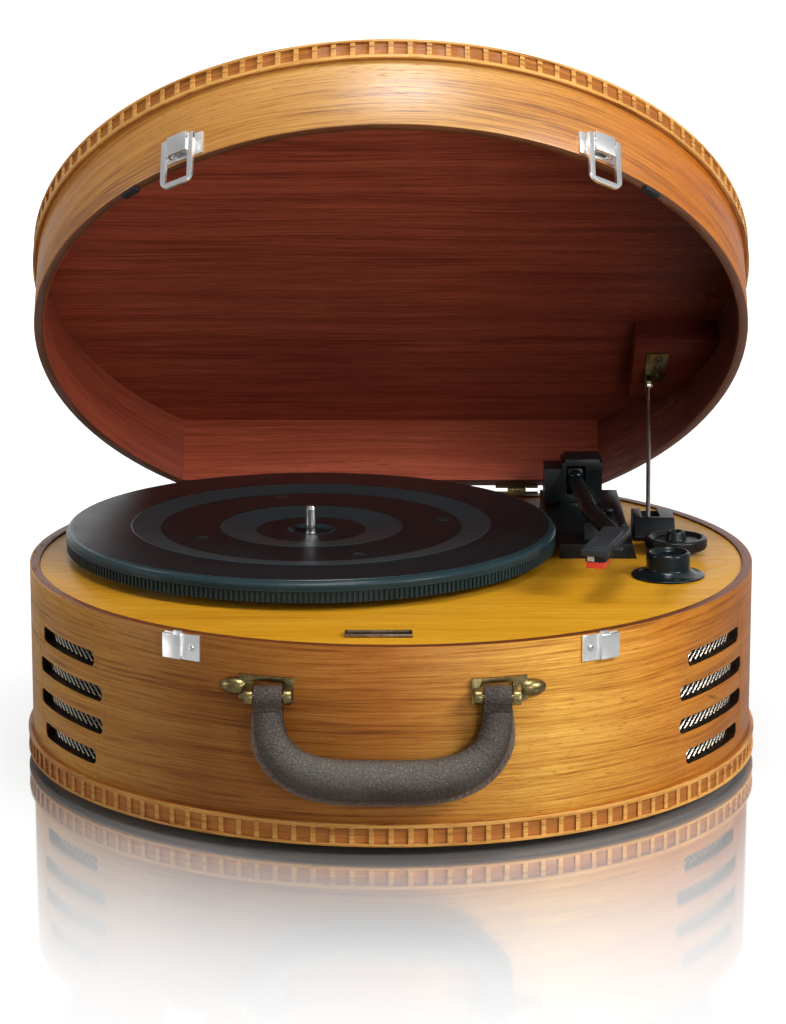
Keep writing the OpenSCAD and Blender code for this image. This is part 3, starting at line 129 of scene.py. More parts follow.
class Graph:
    """A node tree that is wired by short calls."""

    def __init__(self, tree: bpy.types.NodeTree) -> None:
        """Keeps the tree to wire."""
        self.tree = tree

    def put(self, socket: Socket, value: Wire) -> None:
        """Links or sets one input.

        Args:
            socket: The input.
            value: Another node's output, or a plain value.
        """
        if isinstance(value, Socket):
            self.tree.links.new(value, socket)
        elif socket.type == "RGBA" and len(value) == 3:
            socket.default_value = (*value, 1.0)
        else:
            socket.default_value = value

    def add(self, kind: str, inputs: Optional[dict[Any, Wire]] = None, **settings: Any) -> bpy.types.Node:
        """Adds a node.

        Args:
            kind: The node's type.
            inputs: Values or links by input name or number.
            settings: The node's own settings.

        Returns:
            The new node.
        """
        node = self.tree.nodes.new(kind)
        for key, value in settings.items():
            setattr(node, key, value)
        for key, value in (inputs or {}).items():
            self.put(node.inputs[key], value)
        return node

    def math(self, operation: str, a: Wire, b: Wire = 0.0) -> Socket:
        """Joins two values by an operation."""
        return self.add("ShaderNodeMath", {0: a, 1: b}, operation=operation).outputs[0]

    def plus(self, a: Wire, b: Wire) -> Socket:
        """Adds two values."""
        return self.math("ADD", a, b)

    def minus(self, a: Wire, b: Wire) -> Socket:
        """Takes the second value from the first."""
        return self.math("SUBTRACT", a, b)

    def times(self, a: Wire, b: Wire) -> Socket:
        """Multiplies two values."""
        return self.math("MULTIPLY", a, b)

    def most(self, a: Wire, b: Wire) -> Socket:
        """Gives the greater of two values."""
        return self.math("MAXIMUM", a, b)

    def reach(self, x: Wire, y: Wire) -> Socket:
        """Gives a point's distance from the upright axis."""
        return self.math("SQRT", self.plus(self.times(x, x), self.times(y, y)))

    def here(self) -> Socket:
        """Gives the place on the piece."""
        return self.add("ShaderNodeTexCoord").outputs["Object"]

    def attribute(self, name: str) -> Socket:
        """Gives a value that the piece's own points carry."""
        return self.add("ShaderNodeAttribute", attribute_name=name).outputs["Fac"]

    def scaled(self, vector: Wire, by: Point) -> Socket:
        """Stretches a vector along its axes."""
        return self.add("ShaderNodeVectorMath", {0: vector, 1: by}, operation="MULTIPLY").outputs[0]

    def moved(self, vector: Wire, by: Wire) -> Socket:
        """Moves a vector."""
        return self.add("ShaderNodeVectorMath", {0: vector, 1: by}, operation="ADD").outputs[0]

    def split(self, vector: Wire) -> tuple[Socket, ...]:
        """Gives a vector's three parts."""
        return tuple(self.add("ShaderNodeSeparateXYZ", {0: vector}).outputs)

    def joined(self, x: Wire, y: Wire, z: Wire) -> Socket:
        """Makes a vector from three parts."""
        return self.add("ShaderNodeCombineXYZ", {0: x, 1: y, 2: z}).outputs[0]

    def noise(self, vector: Wire, scale: Wire, detail: float = 2.0, rough: float = 0.5) -> Socket:
        """Gives a cloudy value from 0 to 1 over a vector."""
        inputs = {"Vector": vector, "Scale": scale, "Detail": detail, "Roughness": rough}
        return self.add("ShaderNodeTexNoise", inputs).outputs[0]

    def cells(self, vector: Wire, scale: Wire) -> Socket:
        """Gives the distance from the nearest border between random cells."""
        inputs = {"Vector": vector, "Scale": scale}
        return self.add("ShaderNodeTexVoronoi", inputs, feature="DISTANCE_TO_EDGE").outputs[0]

    def span(self, value: Wire, low: float, high: float, start: float = 0.0, end: float = 1.0) -> Socket:
        """Turns the range from low to high smoothly into start to end."""
        inputs = {"Value": value, "From Min": low, "From Max": high, "To Min": start, "To Max": end}
        return self.add("ShaderNodeMapRange", inputs, interpolation_type="SMOOTHSTEP").outputs[0]

    def blend(self, share: Wire, first: Wire, second: Wire, mode: str = "MIX") -> Socket:
        """Blends two colours by a share from 0 to 1."""
        node = self.add("ShaderNodeMix", {0: share, 6: first, 7: second}, data_type="RGBA", blend_type=mode)
        return node.outputs[2]

    def ramp(self, value: Wire, stops: Stops) -> Socket:
        """Turns a value into a colour between stops.

        Args:
            value: The value, from 0 to 1.
            stops: Places from 0 to 1 in order, each with its colour.

        Returns:
            The colour.
        """
        node = self.add("ShaderNodeValToRGB", {0: value})
        elements = node.color_ramp.elements
        while len(elements) < len(stops):
            elements.new(0.5)
        for element, (place, colour) in zip(elements, stops):
            element.position = place
            element.color = (*colour, 1.0)
        return node.outputs[0]

    def bump(self, height: Wire, strength: float, distance: float) -> Socket:
        """Turns a height into a normal."""
        inputs = {"Height": height, "Strength": strength, "Distance": distance}
        return self.add("ShaderNodeBump", inputs).outputs[0]

    def group(self, tree: bpy.types.NodeTree, **inputs: Wire) -> bpy.types.Node:
        """Places a shared node group."""
        return self.add("ShaderNodeGroup", inputs, node_tree=tree)


class Shared:
    """The node groups that several finishes use, each built once."""

    @staticmethod
    def start(name: str, takes: dict[str, str], gives: dict[str, str]) -> tuple[Graph, dict, dict]:
        """Begins a group with named sockets.

        Args:
            name: The group's name.
            takes: Input names and kinds.
            gives: Output names and kinds.

        Returns:
            The graph, its inputs by name and its outputs by name.
        """
        tree = bpy.data.node_groups.new(name, "ShaderNodeTree")
        for label, kind in takes.items():
            tree.interface.new_socket(name=label, in_out="INPUT", socket_type=f"NodeSocket{kind}")
        for label, kind in gives.items():
            tree.interface.new_socket(name=label, in_out="OUTPUT", socket_type=f"NodeSocket{kind}")
        graph = Graph(tree)
        return graph, graph.add("NodeGroupInput").outputs, graph.add("NodeGroupOutput").inputs

    @classmethod
    @cache
    def wood_figure(cls) -> bpy.types.NodeTree:
        """Open-pored veneer: broad bands, fine streaks and short dark pores along the vector's x.

        Returns:
            The group, which gives the wood's tone, its pores and its height.
        """
        takes = {"Vector": "Vector", "Seed": "Float"}
        g, ins, outs = cls.start("wood_figure", takes, {"Tone": "Float", "Pores": "Float", "Height": "Float"})
        seeded = g.moved(ins["Vector"], g.joined(ins["Seed"], ins["Seed"], ins["Seed"]))
        sway = g.times(g.minus(g.noise(g.scaled(seeded, (5, 14, 6)), 1.0, 2.0), 0.5), 0.012)
        base = g.moved(seeded, g.joined(0.0, sway, 0.0))
        bands = g.noise(g.scaled(base, (3.2, 80, 30)), 1.0, 3.0, 0.55)
        streaks = g.noise(g.scaled(base, (11, 620, 90)), 1.0, 4.0, 0.66)
        fibre = g.noise(g.scaled(base, (36, 2000, 400)), 1.0, 3.0, 0.6)
        dashes = g.noise(g.scaled(base, (110, 1150, 400)), 1.0, 2.0, 0.55)
        crowd = g.span(bands, 0.42, 0.62)
        pores = g.times(g.span(dashes, 0.58, 0.68), g.plus(0.35, g.times(crowd, 0.65)))
        tone = g.plus(g.times(bands, 0.26), g.times(streaks, 0.42))
        tone = g.plus(tone, g.times(fibre, 0.32))
        g.put(outs["Tone"], g.span(tone, 0.32, 0.68))
        g.put(outs["Pores"], pores)
        g.put(outs["Height"], g.minus(g.times(fibre, 0.5), pores))
        return g.tree

    @classmethod
    @cache
    def hide_grain(cls) -> bpy.types.NodeTree:
        """Pebbled hide: rounded cells with creases between them, at two sizes.

        Returns:
            The group, which gives the hide's height, its creases and broad clouds.
        """
        g, ins, outs = cls.start("hide_grain", {"Vector": "Vector", "Scale": "Float"},
                                 {"Height": "Float", "Crease": "Float", "Cloud": "Float"})
        warp = g.noise(ins["Vector"], 260.0, 3.0)
        place = g.moved(ins["Vector"], g.scaled(g.joined(warp, warp, warp), (0.006, -0.005, 0.006)))
        cells = g.span(g.cells(place, ins["Scale"]), 0.0, 0.22)
        crumbs = g.span(g.cells(place, g.times(ins["Scale"], 2.3)), 0.0, 0.25)
        g.put(outs["Height"], g.plus(g.times(cells, 0.75), g.times(crumbs, 0.25)))
        g.put(outs["Crease"], g.minus(1.0, cells))
        g.put(outs["Cloud"], g.noise(ins["Vector"], 38.0, 3.0))
        return g.tree

    @classmethod
    @cache
    def handling(cls) -> bpy.types.NodeTree:
        """Marks of use: soft smudges and a fine moulded or cast grain.

        Returns:
            The group, which gives the smudges and the grain.
        """
        g, ins, outs = cls.start("handling", {"Vector": "Vector", "Grain": "Float"},
                                 {"Smudge": "Float", "Grain": "Float"})
        g.put(outs["Smudge"], g.span(g.noise(ins["Vector"], 32.0, 3.0, 0.6), 0.35, 0.68))
        g.put(outs["Grain"], g.noise(ins["Vector"], ins["Grain"]))
        return g.tree


def started(name: str) -> tuple[Material, Graph, bpy.types.Node]:
    """Begins a material.

    Args:
        name: The material's name.

    Returns:
        The material, its graph and its shader.
    """
    material = bpy.data.materials.new(name)
    material.use_nodes = True
    graph = Graph(material.node_tree)
    shader = next(n for n in material.node_tree.nodes if n.type == "BSDF_PRINCIPLED")
    return material, graph, shader


class Grain(Enum):
    """Which way a veneer's grain runs over its piece."""

    ROUND = "round the case"
    FLAT = "along an upright board"
    LYING = "from side to side on a lying board"


@dataclass(frozen=True)
class Veneer:
    """Lacquered veneer with bands, streaks and pores; edges and inner faces may have a second tone, and
    painted light and shade may be multiplied in from the left of the case to its right.
    """

    name: str
    grain: Grain
    lid: bool = False
    light: Colour = (0.70, 0.345, 0.100)
    middle: Colour = (0.53, 0.215, 0.048)
    dark: Colour = (0.25, 0.082, 0.017)
    inner: Optional[tuple[Colour, Colour]] = None
    inner_painted_shade: Stops = ()
    edge: Optional[Colour] = None
    cut: Optional[Colour] = None
    sunk: Optional[Colour] = None
    painted_light_and_shade: Stops = ()
    gloss: float = 0.42
    shine: float = 0.16
    seed: float = 0.0
    pore_shade: float = 0.62
    pore_rough: float = 0.25
    relief: float = 0.35
    relief_deep: float = 0.00025
    past_face: Pair = (0.0003, 0.0008)
    past_cut: Pair = (0.0002, 0.0007)
    past_rib: Pair = (-0.0005, -0.0009)
    below_rim: Pair = (0.006, 0.010)

    def build(self) -> Material:
        """Makes the material.

        Returns:
            The material.
        """
        material, g, shader = started(self.name)
        location, rotation = PLAN.mapping(self.lid)
        inputs = {"Vector": g.here(), "Location": location, "Rotation": rotation}
        x, y, z = g.split(g.add("ShaderNodeMapping", inputs).outputs[0])
        radius = g.reach(x, y)
        if self.grain is Grain.ROUND:
            turn = g.math("ARCTAN2", x, g.times(y, -1.0))
            board = g.joined(g.times(turn, PLAN.case_r), z, radius)
        elif self.grain is Grain.FLAT:
            board = g.joined(x, z, y)
        else:
            board = g.joined(x, y, z)
        wood = g.group(Shared.wood_figure(), Vector=board, Seed=self.seed)
        tone, pores = wood.outputs["Tone"], wood.outputs["Pores"]
        colour = g.ramp(tone, ((0.08, self.dark), (0.42, self.middle), (0.92, self.light)))
        side = g.plus(g.times(x, 0.5 / PLAN.case_r), 0.5)
        # Painted light and shade: the colour is multiplied by a ramp from the left of the case to its right.
        if self.painted_light_and_shade:
            colour = g.blend(1.0, colour, g.ramp(side, self.painted_light_and_shade), "MULTIPLY")
        colour = self.with_inner(g, colour, tone, side, (radius, y, z))
        if self.sunk:
            past_round = g.minus(radius, PLAN.case_r + PLAN.trim_proud)
            past_back = g.minus(y, PLAN.flat_y + PLAN.trim_proud)
            depth = g.most(past_round, past_back)
            colour = g.blend(g.span(depth, *self.past_rib), colour, g.blend(tone, self.dark, self.sunk))
        colour = g.blend(g.times(pores, self.pore_shade), colour, self.dark)
        g.put(shader.inputs["Base Color"], colour)
        g.put(shader.inputs["Roughness"], g.plus(self.gloss - 0.06, g.times(pores, self.pore_rough)))
        g.put(shader.inputs["Normal"], g.bump(wood.outputs["Height"], self.relief, self.relief_deep))
        shader.inputs["Specular IOR Level"].default_value = self.shine
        return material

    def with_inner(self, g: Graph, colour: Wire, tone: Wire, side: Wire, place: Sequence[Wire]) -> Wire:
        """Adds the tone of the edges, of cuts through the wall and of the inner faces, with painted shade
        across the inner faces.

        Args:
            g: The material's graph.
            colour: The outer face's colour.
            tone: The wood's tone.
            side: Place across the case, from 0 at its left to 1 at its right.
            place: Distance from the middle of the case, towards the back and up.

        Returns:
            The colour with its edges and inner faces.
        """
        if not (self.edge or self.cut or self.inner):
            return colour
        radius, y, z = place
        if self.grain is Grain.LYING:
            depth = g.minus(PLAN.lid_top, z)
            wall = PLAN.lid_panel
        elif self.grain is Grain.ROUND:
            depth = g.minus(PLAN.case_r, radius)
            wall = PLAN.side_wall
        else:
            depth = g.minus(PLAN.flat_y, y)
            wall = PLAN.rear_wall
        if self.edge:
            colour = g.blend(g.span(depth, *self.past_face), colour, self.edge)
        if self.cut:
            low = g.span(z, *(PLAN.rim_z - down for down in self.below_rim))
            colour = g.blend(g.times(low, g.span(depth, *self.past_cut)), colour, self.cut)
        if self.inner:
            lining = g.ramp(tone, ((0.1, self.inner[0]), (0.9, self.inner[1])))
            # Painted shade: the lining is multiplied darker towards the right of the case.
            if self.inner_painted_shade:
                lining = g.blend(1.0, lining, g.ramp(side, self.inner_painted_shade), "MULTIPLY")
            start, end = self.past_face
            colour = g.blend(g.span(depth, wall - end, wall - start), colour, lining)
        return colour


@dataclass(frozen=True)
class Moulding:
    """Moulded plastic, rubber, paint or pressed pulp with a fine grain and faint smudges."""

    name: str
    colour: Colour
    gloss: float
    grain: float = 1400.0
    relief: float = 0.12
    shine: float = 0.30
    relief_deep: float = 0.0002
    dust: Colour = (0.10, 0.10, 0.105)
    dusty: float = 0.10

    def build(self) -> Material:
        """Makes the material.

        Returns:
            The material.
        """
        material, g, shader = started(self.name)
        marks = g.group(Shared.handling(), Vector=g.here(), Grain=self.grain)
        smudge, grain = marks.outputs["Smudge"], marks.outputs["Grain"]
        colour = g.blend(g.times(smudge, self.dusty), self.colour, self.dust)
        g.put(shader.inputs["Base Color"], colour)
        rough = g.plus(self.gloss - 0.02, g.times(smudge, 0.05))
        g.put(shader.inputs["Roughness"], rough)
        g.put(shader.inputs["Normal"], g.bump(grain, self.relief, self.relief_deep))
        shader.inputs["Specular IOR Level"].default_value = self.shine
        return material


@dataclass(frozen=True)
class Metal:
    """Plated, polished or aged metal: smudged, and rubbed bright in patches where it is aged."""

    name: str
    colour: Colour
    gloss: float
    aged: Optional[Colour] = None
    grain: float = 900.0
    relief: float = 0.05
    relief_deep: float = 0.0001
    dulled: float = 0.86

    def build(self) -> Material:
        """Makes the material.

        Returns:
            The material.
        """
        material, g, shader = started(self.name)
        marks = g.group(Shared.handling(), Vector=g.here(), Grain=self.grain)
        smudge = marks.outputs["Smudge"]
        rough = g.plus(self.gloss, g.times(smudge, 0.10))
        if self.aged:
            wear_and_painted_light = g.times(smudge, g.span(marks.outputs["Grain"], 0.25, 0.65))
            g.put(shader.inputs["Base Color"], g.blend(wear_and_painted_light, self.aged, self.colour))
            rough = g.minus(g.plus(rough, 0.12), g.times(wear_and_painted_light, 0.14))
        else:
            dull = tuple(self.dulled * c for c in self.colour)
            g.put(shader.inputs["Base Color"], g.blend(smudge, self.colour, dull))
        g.put(shader.inputs["Roughness"], rough)
        g.put(shader.inputs["Normal"], g.bump(marks.outputs["Grain"], self.relief, self.relief_deep))
        shader.inputs["Metallic"].default_value = 1.0
        return material


@dataclass(frozen=True)
class Hide:
    """Soft pebbled leather with creases across its bends, a painted highlight on its upper front and painted
    shade underneath, in its folds and in its grain's creases.
    """

    name: str
    colour: Colour = (0.042, 0.026, 0.017)
    # Paler colour for random clouds and for the painted highlight on the upper front.
    high: Colour = (0.135, 0.118, 0.098)
    # Dark colour for painted shade underneath, in the folds and in the grain's creases.
    deep: Colour = (0.006, 0.0038, 0.0028)
    scale: float = 400.0
    folds: float = 504.0
    gloss: float = 0.33
    shine: float = 0.42
    relief: float = 0.75
    relief_deep: float = 0.00060
    # Turns on the folds and the painted light and shade by facing.
    creased: bool = True

    def build(self) -> Material:
        """Makes the material.

        Returns:
            The material.
        """
        material, g, shader = started(self.name)
        hide = g.group(Shared.hide_grain(), Vector=g.here(), Scale=self.scale)
        height, crease, cloud = (hide.outputs[k] for k in ("Height", "Crease", "Cloud"))
        colour = g.blend(g.span(cloud, 0.3, 0.7, 0.0, 0.25), self.colour, self.high)
        if self.creased:
            # Painted light: points facing up and forward are painted paler, points facing down get painted
            # shade.
            wear_and_painted_light = g.attribute("wear_and_painted_light")
            colour = g.blend(g.span(wear_and_painted_light, 0.68, 1.02, 0.0, 0.9), colour, self.high)
            colour = g.blend(g.span(wear_and_painted_light, 0.60, 0.10, 0.0, 0.85), colour, self.deep)
            run = g.attribute("run")
            bend = g.attribute("bend")
            ripple = g.noise(g.joined(g.times(run, self.folds), g.times(cloud, 2.2), 0.0), 1.0)
            fold = g.times(g.span(ripple, 0.42, 0.6), bend)
            height = g.minus(height, g.times(fold, 1.3))
            # Painted shade in the folds.
            colour = g.blend(g.times(fold, 0.5), colour, self.deep)
        # Painted shade in the grain's creases.
        colour = g.blend(g.times(crease, 0.35), colour, self.deep)
        g.put(shader.inputs["Base Color"], colour)
        g.put(shader.inputs["Roughness"], g.plus(self.gloss, g.times(crease, 0.3)))
        g.put(shader.inputs["Normal"], g.bump(height, self.relief, self.relief_deep))
        shader.inputs["Specular IOR Level"].default_value = self.shine
        return material


class Finishes:
    """Every finish of the player, each made into a material at its first use."""

    # Case veneer: painted shade towards the left, a pale painted highlight right of the middle, painted shade
    # again at the far right.
    OAK_PAINTED_LIGHT = ((0.02, (0.92, 1.10, 1.30)), (0.26, (0.44, 0.42, 0.56)), (0.50, (0.68, 0.62, 0.78)),
                 (0.71, (1.20, 1.56, 1.95)), (0.86, (0.90, 0.86, 0.74)), (0.97, (0.58, 0.46, 0.24)))
    # Lid veneer: a pale painted highlight near the top middle, painted shade at the left and at the right.
    LID_PAINTED_LIGHT = ((0.05, (0.84, 0.80, 0.74)), (0.45, (0.84, 1.00, 1.5)), (0.60, (0.86, 1.02, 1.5)),
                 (0.9, (0.72, 0.50, 0.24)))
    # Base trim: painted shade towards the left.
    TRIM_PAINTED_SHADE = ((0.05, (0.78, 0.74, 0.78)), (0.45, (0.92, 0.88, 0.86)), (0.75, (1.0, 1.0, 1.0)))
    # Lid lining: painted shade towards the right.
    LINING_PAINTED_SHADE = ((0.0, (1.1, 1.08, 1.05)), (0.55, (1.0, 1.0, 1.0)), (0.95, (0.22, 0.16, 0.20)))
    RIM: Colour = (0.125, 0.034, 0.010)
    CUT: Colour = (0.012, 0.008, 0.006)
    FRESH: Colour = (0.78, 0.44, 0.13)
    SUNK: Colour = (0.56, 0.20, 0.042)
    LINING: tuple[Colour, Colour] = ((0.182, 0.029, 0.016), (0.430, 0.091, 0.046))
    # A lighter copy of the lining colours for the lid's back board: painted light where the board faces the
    # lamps.
    LINING_PAINTED_LIT: tuple[Colour, Colour] = ((0.330, 0.064, 0.033), (0.620, 0.145, 0.078))
    kinds = {f.name: f for f in (
        Veneer("oak_case", Grain.ROUND, edge=RIM, inner=(RIM, RIM), cut=CUT, painted_light_and_shade=OAK_PAINTED_LIGHT,
               light=(0.70, 0.305, 0.048), middle=(0.53, 0.190, 0.022), dark=(0.25, 0.072, 0.009)),
        Veneer("oak_back", Grain.FLAT, edge=RIM, inner=(RIM, RIM), seed=3.1),
        Veneer("oak_lid", Grain.ROUND, True, edge=RIM, inner=LINING, inner_painted_shade=LINING_PAINTED_SHADE,
               painted_light_and_shade=LID_PAINTED_LIGHT, light=(0.74, 0.345, 0.060), middle=(0.59, 0.225, 0.026), shine=0.75,
               seed=7.7),
        Veneer("oak_lid_back", Grain.FLAT, True, edge=RIM, inner=LINING_PAINTED_LIT, inner_painted_shade=LINING_PAINTED_SHADE,
               seed=5.3),
        Veneer("oak_base_trim", Grain.ROUND, sunk=SUNK, light=FRESH, middle=(0.62, 0.285, 0.060),
               painted_light_and_shade=TRIM_PAINTED_SHADE, seed=1.9),
        Veneer("oak_lid_trim", Grain.ROUND, True, sunk=SUNK, light=FRESH, middle=(0.64, 0.31, 0.075),
               seed=2.6),
        Veneer("golden_deck", Grain.LYING, light=(0.61, 0.315, 0.020), middle=(0.52, 0.240, 0.010),
               dark=(0.40, 0.165, 0.006), gloss=0.42, seed=4.4),
        Veneer("red_lining", Grain.LYING, True, light=LINING[1], middle=(0.280, 0.050, 0.026), dark=LINING[0],
               painted_light_and_shade=LINING_PAINTED_SHADE, gloss=0.46, seed=6.2),
        Veneer("oak_lid_top", Grain.LYING, True, inner=LINING, inner_painted_shade=LINING_PAINTED_SHADE, gloss=0.46,
               seed=6.2),
        Veneer("plain_board", Grain.LYING, light=(0.52, 0.36, 0.2), middle=(0.44, 0.28, 0.15),
               dark=(0.3, 0.18, 0.09), gloss=0.6, seed=8.8),
        Moulding("black_moulding", (0.0045, 0.0065, 0.0075), 0.32, dust=(0.05, 0.06, 0.065), dusty=0.08),
        Moulding("platter_black", (0.0040, 0.0105, 0.0125), 0.30, grain=2200.0, relief=0.2, shine=0.22,
                 dust=(0.045, 0.065, 0.07), dusty=0.06),
        # Lighter, bluer copies of the platter's black: painted sheen for the ring slopes, pits, rim band and
        # teeth.
        Moulding("ring_painted_sheen", (0.018, 0.040, 0.047), 0.32, grain=2200.0, relief=0.2,
                 dust=(0.05, 0.085, 0.095)),
        Moulding("skirt_painted_sheen", (0.012, 0.032, 0.039), 0.26, grain=2200.0, relief=0.1,
                 dust=(0.05, 0.07, 0.075)),
        Moulding("knob_black", (0.0025, 0.0075, 0.0090), 0.20, relief=0.04, shine=0.30,
                 dust=(0.03, 0.05, 0.055), dusty=0.05),
        Moulding("head_grey", (0.022, 0.026, 0.030), 0.36, dust=(0.08, 0.09, 0.095)),
        Moulding("needle_red", (0.66, 0.060, 0.030), 0.30, relief=0.03, dust=(0.7, 0.1, 0.05)),
        Moulding("needle_white", (0.62, 0.62, 0.60), 0.35, relief=0.03, dust=(0.5, 0.5, 0.48)),
        Moulding("rubber", (0.012, 0.012, 0.013), 0.7, grain=900.0, relief=0.3),
        Moulding("matt_black", (0.010, 0.010, 0.010), 0.75, grain=500.0, relief=0.4),
        Moulding("cone_pulp", (0.022, 0.021, 0.020), 0.85, grain=420.0, relief=0.6),
        Moulding("circuit_green", (0.045, 0.17, 0.075), 0.4, dust=(0.1, 0.25, 0.1)),
        Moulding("thread", (0.15, 0.115, 0.095), 0.7, grain=2500.0, relief=0.5, dusty=0.2),
        Metal("chrome", (0.95, 0.955, 0.96), 0.28),
        Metal("steel", (0.62, 0.62, 0.61), 0.22),
        Metal("mesh_steel", (0.50, 0.46, 0.38), 0.34),
        Metal("old_brass", (0.44, 0.35, 0.15), 0.20, aged=(0.13, 0.10, 0.042)),
        Metal("worn_brass", (0.74, 0.62, 0.36), 0.18),
        Metal("badge_nickel", (0.36, 0.30, 0.23), 0.22, aged=(0.15, 0.115, 0.085)),
        Metal("dark_nickel", (0.13, 0.12, 0.10), 0.30, aged=(0.075, 0.066, 0.052)),
        Hide("hide"),
        Hide("hide_loop", creased=False),
        Hide("hide_edge", colour=(0.17, 0.115, 0.088), high=(0.22, 0.16, 0.13), deep=(0.08, 0.05, 0.035),
             scale=700.0, creased=False),
        # Near-black groove beside the sewn edge: painted shade.
        Hide("hide_groove", colour=(0.006, 0.004, 0.003), high=(0.010, 0.007, 0.005), creased=False),
    )}

    @classmethod
    @cache
    def get(cls, name: str) -> Material:
        """Gives a finish's material."""
        return cls.kinds[name].build()


@dataclass(frozen=True)
class Edge:
    """How edges are softened: width, steps across, least angle in degrees and, at times, their own finish."""

    width: float
    segments: int = 2
    angle: float = 40.0
    finish: Optional[str] = None


class Bench:
    """Modelling with operators, one piece at a time."""

    nodes: dict[str, Piece] = {}
    slots: dict[str, str] = {}
    same_place: float = 2e-6
    flat: float = math.radians(0.03)

    @classmethod
    def take(cls, frame: dict[str, Any]) -> None:
        """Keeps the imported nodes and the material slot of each."""
        cls.nodes = frame["nodes"]
        cls.slots = {part["node"]: part["material_slot"] for part in frame["record"]["subparts"]}

    @staticmethod
    def only(*pieces: Piece) -> None:
        """Selects these pieces and nothing else, the first one active.

        Args:
            pieces: The pieces to select.
        """
        bpy.ops.object.select_all(action="DESELECT")
        for piece in pieces:
            piece.select_set(True)
        bpy.context.view_layer.objects.active = pieces[0]

    @classmethod
    @contextmanager
    def editing(cls, piece: Piece) -> Iterator[bmesh.types.BMesh]:
        """Opens a piece in edit mode with nothing selected.

        Args:
            piece: The piece to shape.

        Yields:
            Its mesh, for selecting faces and edges.
        """
        cls.only(piece)
        bpy.ops.object.mode_set(mode="EDIT")
        bpy.ops.mesh.select_all(action="DESELECT")
        yield bmesh.from_edit_mesh(piece.data)
        bpy.ops.object.mode_set(mode="OBJECT")

    @classmethod
    def modified(cls, piece: Piece, kind: str, **settings: Any) -> None:
        """Adds a modifier and applies it.

        Args:
            piece: The piece.
            kind: The modifier's type.
            settings: The modifier's own settings.
        """
        cls.only(piece)
        modifier = piece.modifiers.new(kind.title(), kind)
        for key, value in settings.items():
            setattr(modifier, key, value)
        bpy.ops.object.modifier_apply(modifier=modifier.name)

    @classmethod
    def smoothed(cls, piece: Piece, degrees: float = 28.0) -> Piece:
        """Shades a piece smooth, apart from its sharper edges.

        Args:
            piece: The piece.
            degrees: The angle from which an edge stays sharp.

        Returns:
            The piece.
        """
        cls.only(piece)
        bpy.ops.object.shade_smooth_by_angle(angle=math.radians(degrees))
        return piece

    @staticmethod
    def painted(piece: Piece, *finishes: str) -> None:
        """Gives a piece these finishes, each in a slot of its own.

        Args:
            piece: The piece.
            finishes: The finishes' names, in order.
        """
        piece.data.materials.clear()
        for finish in finishes:
            piece.data.materials.append(Finishes.get(finish))

    @classmethod
    def placed(cls, piece: Piece, finish: str, body: str, slot: str, *nodes: str) -> Piece:
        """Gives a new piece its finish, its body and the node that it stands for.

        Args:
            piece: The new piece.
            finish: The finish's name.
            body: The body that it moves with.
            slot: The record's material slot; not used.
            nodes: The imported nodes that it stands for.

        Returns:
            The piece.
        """
        cls.only(piece)
        bpy.ops.object.transform_apply(location=True, rotation=True, scale=True)
        if Finishes.get(finish) not in list(piece.data.materials):
            cls.painted(piece, finish)
        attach(piece, body)
        if nodes:
            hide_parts(*nodes)
        LOG.info("%s: %s on %s", piece.name, finish, body)
        return piece

    @classmethod
    def dressed(cls, node: str, finish: str) -> Piece:
        """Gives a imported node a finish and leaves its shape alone.

        Args:
            node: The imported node.
            finish: The finish's name.

        Returns:
            The node's piece.
        """
        piece = cls.nodes[node]
        if not piece.material_slots:
            piece.data.materials.append(None)
        for place in piece.material_slots:
            place.material = Finishes.get(finish)
        LOG.info("%s: %s", node, finish)
        return piece

    @classmethod
    def eased(cls, node: str, finish: str, edge: Edge) -> Piece:
        """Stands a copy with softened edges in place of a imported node.

        Args:
            node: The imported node.
            finish: The finish's name.
            edge: How its edges are softened.

        Returns:
            The copy.
        """
        source = cls.nodes[node]
        cls.only(source)
        bpy.ops.object.duplicate()
        piece = bpy.context.active_object
        piece.name = f"{node}_eased"
        piece.data.name = piece.name
        for key in [k for k in piece.keys() if k.startswith("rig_")]:
            del piece[key]
        piece.parent = None
        with cls.editing(piece):
            bpy.ops.mesh.select_all(action="SELECT")
            bpy.ops.mesh.remove_doubles(threshold=cls.same_place)
            bpy.ops.mesh.dissolve_limited(angle_limit=cls.flat)
        bpy.ops.mesh.customdata_custom_splitnormals_clear()
        cls.painted(piece, *filter(None, (finish, edge.finish)))
        cls.modified(piece, "BEVEL", width=edge.width, segments=edge.segments, limit_method="ANGLE",
                     angle_limit=math.radians(edge.angle), use_clamp_overlap=True, harden_normals=False,
                     material=1 if edge.finish else -1)
        cls.smoothed(piece)
        return cls.placed(piece, finish, source["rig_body"], cls.slots[node], node)

    @classmethod
    def primitive(cls, name: str, add: Callable, **settings: Any) -> Piece:
        """Adds a primitive to shape, with its place in its mesh.

        Args:
            name: The piece's name.
            add: The operator that adds it.
            settings: The operator's settings.

        Returns:
            The new piece.
        """
        bpy.ops.object.select_all(action="DESELECT")
        add(**settings)
        piece = bpy.context.active_object
        piece.name = name
        piece.data.name = name
        bpy.ops.object.transform_apply(location=True, rotation=True, scale=True)
        return piece

    @classmethod
    def plate(cls, name: str, middle: Vector, size: Point, bevel: float, turn: float = 0.0) -> Piece:
        """Makes a small block with softened edges.

        Args:
            name: The piece's name.
            middle: Where it sits.
            size: Its width, depth and height.
            bevel: Width of the softened edges.
            turn: Its turn about the upright, in radians.

        Returns:
            The block.
        """
        piece = cls.primitive(name, bpy.ops.mesh.primitive_cube_add, size=1.0, location=middle,
                              rotation=(0.0, 0.0, turn), scale=size)
        cls.modified(piece, "BEVEL", width=bevel, segments=2)
        return piece

